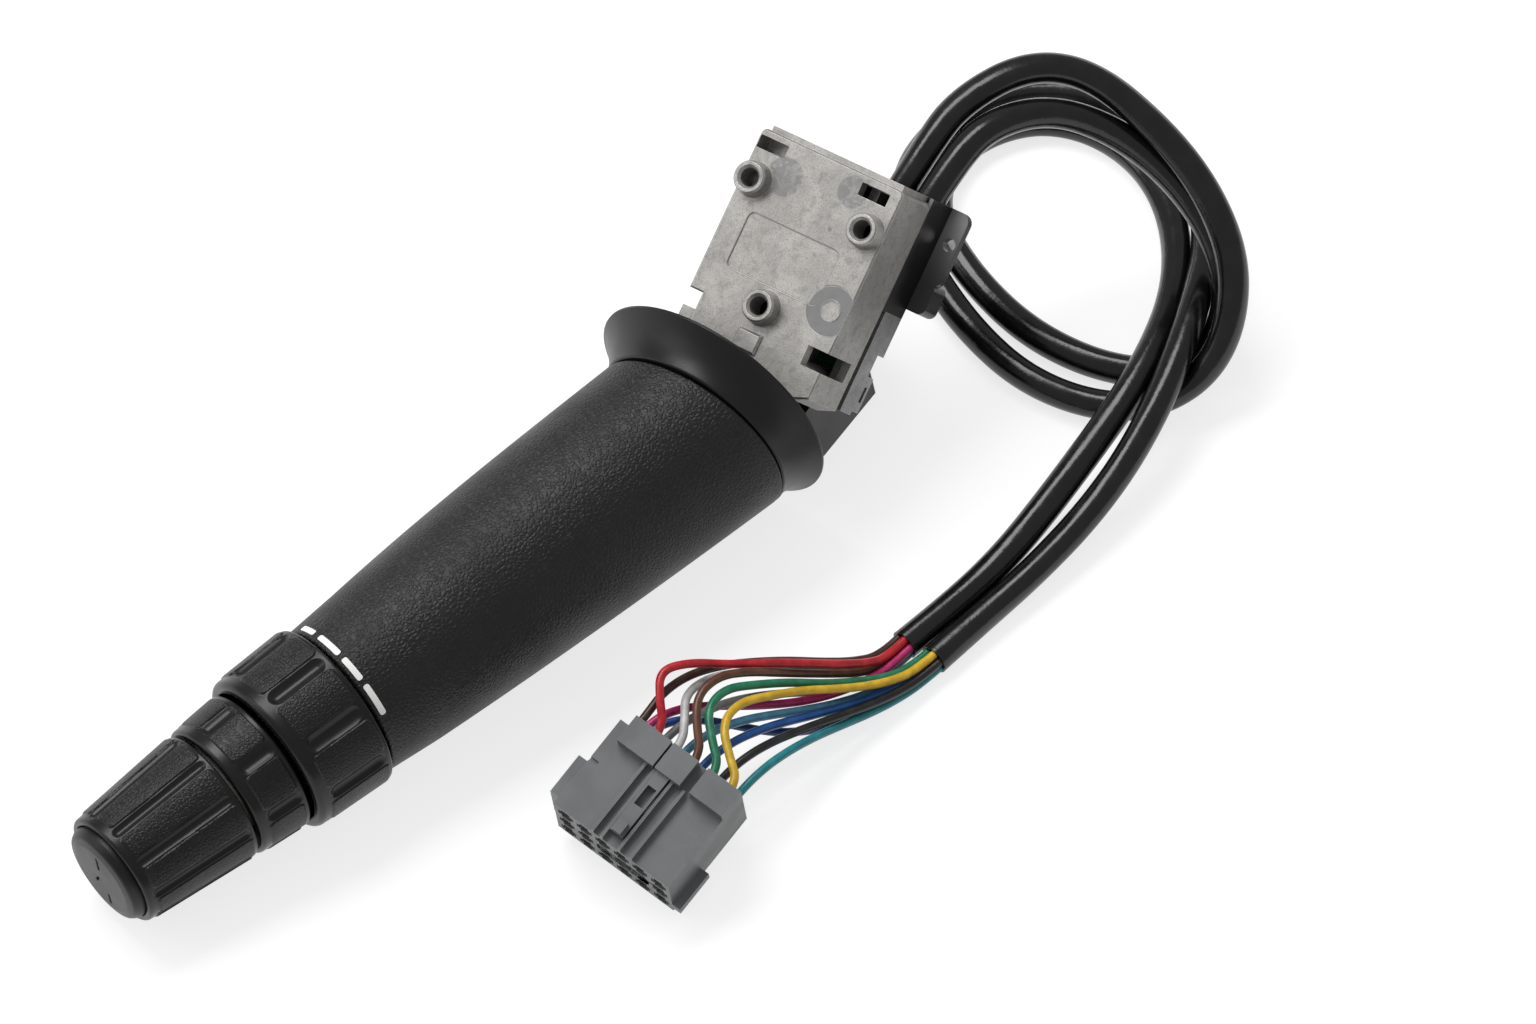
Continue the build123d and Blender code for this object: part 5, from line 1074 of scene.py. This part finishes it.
# %% Routes of the wires
WIRE_ROUTES = {
    "wire_dark_brown": (
        (0.056, -0.06185, 0.00444), (0.0501, -0.06289, 0.00444), (0.04396, -0.06158, 0.00663),
        (0.03733, -0.05911, 0.00996), (0.03019, -0.05612, 0.01391), (0.02291, -0.05376, 0.01767),
        (0.0153, -0.05163, 0.02114), (0.00733, -0.05047, 0.0236), (5e-05, -0.05112, 0.0248),
        (-0.00637, -0.05327, 0.0244), (-0.0146, -0.05491, 0.02211),
    ),
    "wire_red": (
        (0.05631, -0.06357, 0.00545), (0.0504, -0.06462, 0.00545), (0.04525, -0.06454, 0.00831),
        (0.03894, -0.06302, 0.01221), (0.03202, -0.0606, 0.01638), (0.02437, -0.05736, 0.02022),
        (0.01614, -0.05387, 0.02329), (0.00802, -0.05043, 0.028), (0.00125, -0.04864, 0.02931),
        (-0.00263, -0.05339, 0.02741), (-0.00522, -0.05809, 0.02372), (-0.01345, -0.05973, 0.02144),
    ),
    "wire_white": (
        (0.056, -0.06185, 0.00242), (0.0501, -0.06289, 0.00242), (0.04421, -0.06177, 0.00383),
        (0.03851, -0.05937, 0.00673), (0.03221, -0.05776, 0.00989), (0.02593, -0.0562, 0.01409),
        (0.01863, -0.05423, 0.01829), (0.01094, -0.05272, 0.02171), (0.00389, -0.05385, 0.02348),
        (-0.00016, -0.05879, 0.02359), (-0.00407, -0.0629, 0.02305), (-0.0123, -0.06455, 0.02077),
    ),
    "wire_brown": (
        (0.05631, -0.06357, 0.00343), (0.0504, -0.06462, 0.00343), (0.04431, -0.06427, 0.00513),
        (0.03851, -0.06287, 0.00873), (0.03215, -0.06123, 0.01303), (0.02539, -0.05939, 0.01766),
        (0.01873, -0.05749, 0.02234), (0.01168, -0.05572, 0.02561), (0.00463, -0.05695, 0.02611),
        (0.00034, -0.06221, 0.02443), (-0.00292, -0.06772, 0.02238), (-0.01115, -0.06937, 0.0201),
    ),
    "wire_green": (
        (0.0585, -0.06863, 0.00444), (0.05254, -0.06935, 0.00444), (0.04601, -0.06857, 0.00633),
        (0.03931, -0.06687, 0.00943), (0.03261, -0.06487, 0.01303), (0.02578, -0.06232, 0.0171),
        (0.01862, -0.06016, 0.02068), (0.01131, -0.05819, 0.02385), (0.00482, -0.06008, 0.02458),
        (0.00102, -0.0666, 0.02316), (-0.00177, -0.07254, 0.02171), (-0.01, -0.07419, 0.01943),
    ),
    "wire_yellow": (
        (0.05871, -0.07037, 0.00545), (0.05275, -0.07108, 0.00545), (0.04641, -0.07057, 0.00713),
        (0.03981, -0.06917, 0.00983), (0.03341, -0.06747, 0.01313), (0.02673, -0.06537, 0.01669),
        (0.01939, -0.06376, 0.01992), (0.01184, -0.06225, 0.02271), (0.00534, -0.06449, 0.02348),
        (0.00177, -0.07156, 0.02209), (-0.00062, -0.07736, 0.02104), (-0.00885, -0.07901, 0.01876),
    ),
    "wire_magenta": (
        (0.05661, -0.06529, 0.00444), (0.05071, -0.06634, 0.00444), (0.04411, -0.06667, 0.00563),
        (0.03691, -0.06617, 0.00743), (0.02961, -0.06487, 0.00953), (0.02251, -0.06247, 0.01183),
        (0.01561, -0.05937, 0.01423), (0.00901, -0.05597, 0.01683), (0.00231, -0.05327, 0.01883),
        (-0.00512, -0.05224, 0.01914), (-0.01335, -0.05388, 0.01686),
    ),
    "wire_grey": (
        (0.05661, -0.06529, 0.00242), (0.05071, -0.06634, 0.00242), (0.04451, -0.06607, 0.00333),
        (0.03821, -0.06487, 0.00543), (0.03181, -0.06317, 0.00853), (0.02541, -0.06137, 0.01213),
        (0.01861, -0.05967, 0.01553), (0.01151, -0.05807, 0.01793), (0.00401, -0.05707, 0.01903),
        (-0.00397, -0.05705, 0.01847), (-0.0122, -0.0587, 0.01619),
    ),
    "wire_light_blue": (
        (0.0585, -0.06863, 0.00242), (0.05254, -0.06935, 0.00242), (0.04611, -0.06907, 0.00333),
        (0.03931, -0.06837, 0.00513), (0.03241, -0.06737, 0.00763), (0.02561, -0.06607, 0.01063),
        (0.01891, -0.06447, 0.01363), (0.01211, -0.06287, 0.01623), (0.00491, -0.06187, 0.01783),
        (-0.00282, -0.06187, 0.0178), (-0.01105, -0.06352, 0.01552),
    ),
    "wire_blue": (
        (0.05871, -0.07037, 0.00343), (0.05275, -0.07108, 0.00343), (0.04641, -0.07097, 0.00443),
        (0.03991, -0.07047, 0.00613), (0.03331, -0.06957, 0.00843), (0.02661, -0.06867, 0.01093),
        (0.02001, -0.06767, 0.01363), (0.01321, -0.06677, 0.01583), (0.00601, -0.06627, 0.01723),
        (-0.00167, -0.06669, 0.01712), (-0.0099, -0.06834, 0.01484),
    ),
    "wire_black": (
        (0.05892, -0.07211, 0.00444), (0.05296, -0.07282, 0.00444), (0.04681, -0.07297, 0.00543),
        (0.04041, -0.07267, 0.00693), (0.03401, -0.07207, 0.00883), (0.02751, -0.07147, 0.01093),
        (0.02091, -0.07097, 0.01313), (0.01421, -0.07067, 0.01523), (0.00711, -0.07077, 0.01663),
        (-0.00052, -0.07151, 0.01645), (-0.00875, -0.07316, 0.01417),
    ),
    "wire_teal": (
        (0.05892, -0.07211, 0.00242), (0.05296, -0.07282, 0.00242), (0.04621, -0.07307, 0.00323),
        (0.03901, -0.07307, 0.00503), (0.03161, -0.07297, 0.00763), (0.02401, -0.07317, 0.01073),
        (0.01641, -0.07387, 0.01363), (0.00861, -0.07487, 0.01563), (0.00063, -0.07633, 0.01578),
        (-0.0076, -0.07798, 0.0135),
    ),
    "wire_dark_blue": (
        (0.05871, -0.07037, 0.00141), (0.05275, -0.07108, 0.00141), (0.04621, -0.07117, 0.00153),
        (0.03921, -0.07077, 0.00203), (0.03221, -0.06967, 0.00303), (0.02551, -0.06767, 0.00453),
        (0.01941, -0.06477, 0.00663), (0.01401, -0.06077, 0.00923), (0.00871, -0.05647, 0.01183),
        (0.00301, -0.05277, 0.01363), (-0.00387, -0.0512, 0.01388), (-0.0121, -0.05285, 0.0116),
    ),
}
print("routes of wires:", len(WIRE_ROUTES))


# %% A smooth line through a route's control points
SAME_PLACE = 1e-6


def spline(name, route):
    """An open NURBS curve of order 3 that starts and ends at the route's ends."""
    curve = bpy.data.curves.new(name, "CURVE")
    curve.dimensions = "3D"
    curve.resolution_u = 12
    line = curve.splines.new("NURBS")
    line.points.add(len(route) - 1)
    line.points.foreach_set("co", np.hstack([route, np.ones((len(route), 1))]).ravel())
    line.order_u = 3
    line.use_endpoint_u = True
    return placed(name, curve)


def line_points(name, route):
    """Points along the spline, each a little further on than the one before."""
    guide = spline(name + "_guide", route)
    track = bpy.data.meshes.new_from_object(guide)
    points = np.empty(len(track.vertices) * 3)
    track.vertices.foreach_get("co", points)
    points = points.reshape(-1, 3)
    bpy.data.objects.remove(guide)
    steps = np.linalg.norm(np.diff(points, axis=0), axis=1)
    return points[np.concatenate([[True], steps > SAME_PLACE])]


def evenly(points, count):
    """The same line with its points at even distances, and its length."""
    run = np.concatenate([[0], np.cumsum(np.linalg.norm(np.diff(points, axis=0), axis=1))])
    even = np.linspace(0, run[-1], count)
    return np.stack([np.interp(even, run, points[:, i]) for i in range(3)], axis=1), run[-1]


def carried_axes(points):
    """Two axes across the line at each point, turned as little as possible on the way."""
    ahead = np.gradient(points, axis=0)
    ahead /= np.linalg.norm(ahead, axis=1, keepdims=True)
    side = np.empty_like(ahead)
    side[0] = unit(np.cross(ahead[0], (0.0, 0.0, 1.0)))
    for i in range(1, len(ahead)):
        side[i] = unit(side[i - 1] - (side[i - 1] @ ahead[i]) * ahead[i])
    return side, np.cross(ahead, side)


# %% Sleeve material
sleeve_pvc, tree, shader, place = start_material("sleeve_pvc", IOR=1.52)
marks = use_group(tree, handled, place, Scratches=0.6, Dust=0.5)
soft = noise(tree, place, 5.0, detail=3.0)
fine = noise(tree, place, 0.7, detail=2.0)
patches = between(tree, soft, 0.4, 0.7)
shade = tint(tree, patches, (0.005, 0.005, 0.0053), (0.008, 0.008, 0.0084))
shade = tint(tree, calc(tree, "MULTIPLY", marks["Dust"], 0.4), shade, (0.06, 0.06, 0.06))
gloss = calc(tree, "MULTIPLY_ADD", soft, 0.22, 0.1)
gloss = calc(tree, "MULTIPLY_ADD", marks["Scratch"], 0.2, gloss)
feed(shader, tree, shade, gloss, calc(tree, "MULTIPLY_ADD", fine, 0.12, soft), 0.12)
print(sleeve_pvc.name, len(tree.nodes), "nodes")

# %% Sleeves
SLEEVE_R = 3.35
SLEEVE_COLUMNS = 40
SLEEVE_ROWS = 900
SLEEVE_SEAMS = 60
MOUTH = np.array([(0.0, 1.0), (-0.15, 0.93), (-0.15, 0.86), (0.2, 0.82), (3.0, 0.8), (9.0, 0.8)])


def sleeve_section(run, turn, seed):
    """Radius as a share: 1 + flattening cos 2a + slow folds, all changing along the run."""
    lay = 2.4 * np.sin(run / 41.0 + seed) + run / 90.0
    flat = 0.02 + 0.015 * np.sin(run / 23.0 + 2 * seed)
    fold = 0.012 * np.sin(3 * turn + run / 13.0 + seed) + 0.008 * np.sin(5 * turn - run / 7.0)
    return 1 + flat * np.cos(2 * (turn - lay)) + fold


def sleeve(node, route, seed):
    """Tube skin along the spline, turned inward at its mouth and closed deep inside. MOUTH is
    how far back from the end each of its last loops lies, and its share of the radius."""
    name = node + "_skin"
    points, length = evenly(line_points(name, route), SLEEVE_ROWS)
    side, rise = carried_axes(points)
    run = np.linspace(0, length / MM, SLEEVE_ROWS)
    turn = np.linspace(0, TURN, SLEEVE_COLUMNS, endpoint=False)[None, :]
    last = SLEEVE_ROWS - 1
    back = np.clip(run[-1] - MOUTH[:, 0], 0, run[-1])
    row = np.concatenate([np.arange(last), np.searchsorted(run, back - 1e-9).clip(0, last)])
    share = np.concatenate([np.ones(last), MOUTH[:, 1]])[:, None]
    radius = MM * SLEEVE_R * share * sleeve_section(run[row][:, None], turn, seed)
    across = side[row][:, None] * np.cos(turn)[..., None]
    across = across + rise[row][:, None] * np.sin(turn)[..., None]
    loops = points[row][:, None] + radius[..., None] * across
    piece = skin(name, [(lofted(loops), 0.0)], sleeve_pvc, "housing", [node], SLEEVE_SEAMS)
    print(name, "length", round(length, 4), "m")


for seed, (node, route) in enumerate(SLEEVE_ROUTES.items()):
    sleeve(node, np.array(route), 0.7 + 1.9 * seed)

# %% [markdown]
# ## Wires
# Thirteen single wires fan out of the sleeves' mouths and go into the connector. A wire is
# stiff enough to stay round, so it is a curve with a round bevel, and its insulation is
# coloured PVC: one material recipe, one colour each.

# %% Insulation colours
WIRE_COLOURS = {
    "dark_brown": (0.055, 0.022, 0.014), "red": (0.58, 0.012, 0.025), "white": (0.62, 0.62, 0.61),
    "brown": (0.13, 0.045, 0.02), "green": (0.012, 0.22, 0.11), "yellow": (0.8, 0.5, 0.02),
    "magenta": (0.55, 0.02, 0.16), "grey": (0.27, 0.27, 0.275), "light_blue": (0.1, 0.33, 0.5),
    "blue": (0.015, 0.12, 0.42), "black": (0.012, 0.012, 0.013), "teal": (0.01, 0.26, 0.3),
    "dark_blue": (0.01, 0.06, 0.25),
}


def insulation(name, colour):
    """PVC of one colour: a little cloudier and lighter in places, with fine dirt."""
    material, tree, shader, place = start_material(name, IOR=1.5)
    marks = use_group(tree, handled, place, Scratches=0.4, Dust=0.7)
    cloud = noise(tree, place, 3.0, detail=3.0)
    light = tuple(min(1.0, 1.12 * part + 0.01) for part in colour)
    dark = tuple(0.8 * part for part in colour)
    shade = tint(tree, between(tree, cloud, 0.35, 0.7), dark, light)
    shade = tint(tree, calc(tree, "MULTIPLY", marks["Dust"], 0.25), shade, (0.2, 0.19, 0.18))
    feed(shader, tree, shade, calc(tree, "MULTIPLY_ADD", cloud, 0.16, 0.24), cloud, 0.03)
    return material


# %% Wires
WIRE_R = 0.95


def wire(node, route):
    """A round insulated wire along its spline, from the sleeve to the connector."""
    points = line_points(node, route)
    length = np.linalg.norm(np.diff(points, axis=0), axis=1).sum()
    piece = spline(node + "_insulation", route)
    piece.data.bevel_depth = WIRE_R * MM
    piece.data.bevel_resolution = 4
    piece.data.use_fill_caps = True
    colour = node.replace("wire_", "")
    piece.data.materials.append(insulation("insulation_" + colour, WIRE_COLOURS[colour]))
    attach(piece, "housing")
    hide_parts(node)
    return length


# %% [markdown]
# ## Connector
# A grey nylon housing with rails, a latch and eighteen cavities. Its imported solid is kept
# and gets soft edges that are a little lighter: partly as on the real moulding, partly a
# painted highlight along the edge. The brass box terminals show in the cavities.

# %% Connector and its wires
connector = softened(
    "connector_housing", "connector_moulded", CONNECTOR_GREY, CONNECTOR_EDGE_WEAR_AND_HIGHLIGHT, 0.2)
retainer = softened(
    "terminal_retainer", "side_lock_moulded", CONNECTOR_GREY, CONNECTOR_EDGE_WEAR_AND_HIGHLIGHT, 0.12)
dress("connector_terminals", BRASS)
wire_lengths = {node: round(wire(node, np.array(route)), 4)
                for node, route in WIRE_ROUTES.items()}
print("wires:", wire_lengths)

# %% [markdown]
# ## Studio
# The background of the photograph is pure white, with soft shadows where the piece touches
# the table. A pale floor catches the shadows. Where the camera looks at the floor itself, a
# little light of its own lifts it to white, and the shadows stay. Glossy and transmission
# rays see the same white, so that the metal shows it too.

# %% Floor
FLOOR_HALF = 6.0
FLOOR_GREY = 0.42
FLOOR_GLOW = 0.75
sides = ((-1, -1), (1, -1), (1, 1), (-1, 1))
floor_corners = [(FLOOR_HALF * x, FLOOR_HALF * y, 0) for x, y in sides]
floor_mesh = bpy.data.meshes.new("studio_floor")
floor_mesh.from_pydata(floor_corners, [], [(0, 1, 2, 3)])
floor = placed("studio_floor", floor_mesh)
floor_white, tree, shader, place = start_material("floor_white", Roughness=0.9)
shader.inputs["Base Color"].default_value = (FLOOR_GREY, FLOOR_GREY, FLOOR_GREY, 1)
path = tree.nodes.new("ShaderNodeLightPath").outputs
seen = calc(tree, "MAXIMUM", path["Is Camera Ray"], path["Is Glossy Ray"])
seen = calc(tree, "MAXIMUM", seen, path["Is Transmission Ray"])
shader.inputs["Emission Color"].default_value = (1, 1, 1, 1)
tree.links.new(calc(tree, "MULTIPLY", seen, FLOOR_GLOW), shader.inputs["Emission Strength"])
floor_mesh.materials.append(floor_white)
print("floor:", 2 * FLOOR_HALF, "m wide")

# %% [markdown]
# The world gives an even light from all sides. One large soft lamp stands over the top of
# the picture and draws the broad highlight along the grip, and a weaker one on the left
# keeps the knob's side from going black. Both look at a point just above the floor.

# %% World and lamps
SKY_STRENGTH = 0.36
LAMP_DISTANCE = 1.3
LAMP_AIM = np.array([0.0, 0.0, 0.03])
world = bpy.data.worlds.new("studio")
bpy.context.scene.world = world
world.use_nodes = True
backdrop = world.node_tree.nodes["Background"].inputs
backdrop["Color"].default_value = (1, 1, 1, 1)
backdrop["Strength"].default_value = SKY_STRENGTH


def lamp(name, direction, size, power):
    """A rectangular soft light of power watts that shines from that direction."""
    light = bpy.data.lights.new(name, "AREA")
    light.shape = "RECTANGLE"
    light.size, light.size_y = size
    light.energy = power
    back = unit(direction)
    axes = spot((0, 0, 0), np.cross((0, 0, 1.0), back), back)[1]
    placed(name, light).matrix_world = placement(axes, LAMP_AIM + LAMP_DISTANCE * back)
    print(name, power, "W")


above = 0.75 * camera_up + 0.5 * camera_back - 0.25 * camera_right
from_left = 0.3 * camera_up + 0.4 * camera_back - 0.9 * camera_right
lamp("top_softbox", above, (1.0, 0.55), 11.0)
lamp("left_softbox", from_left, (0.5, 0.9), 2.6)
bpy.context.scene.view_settings.view_transform = "Standard"
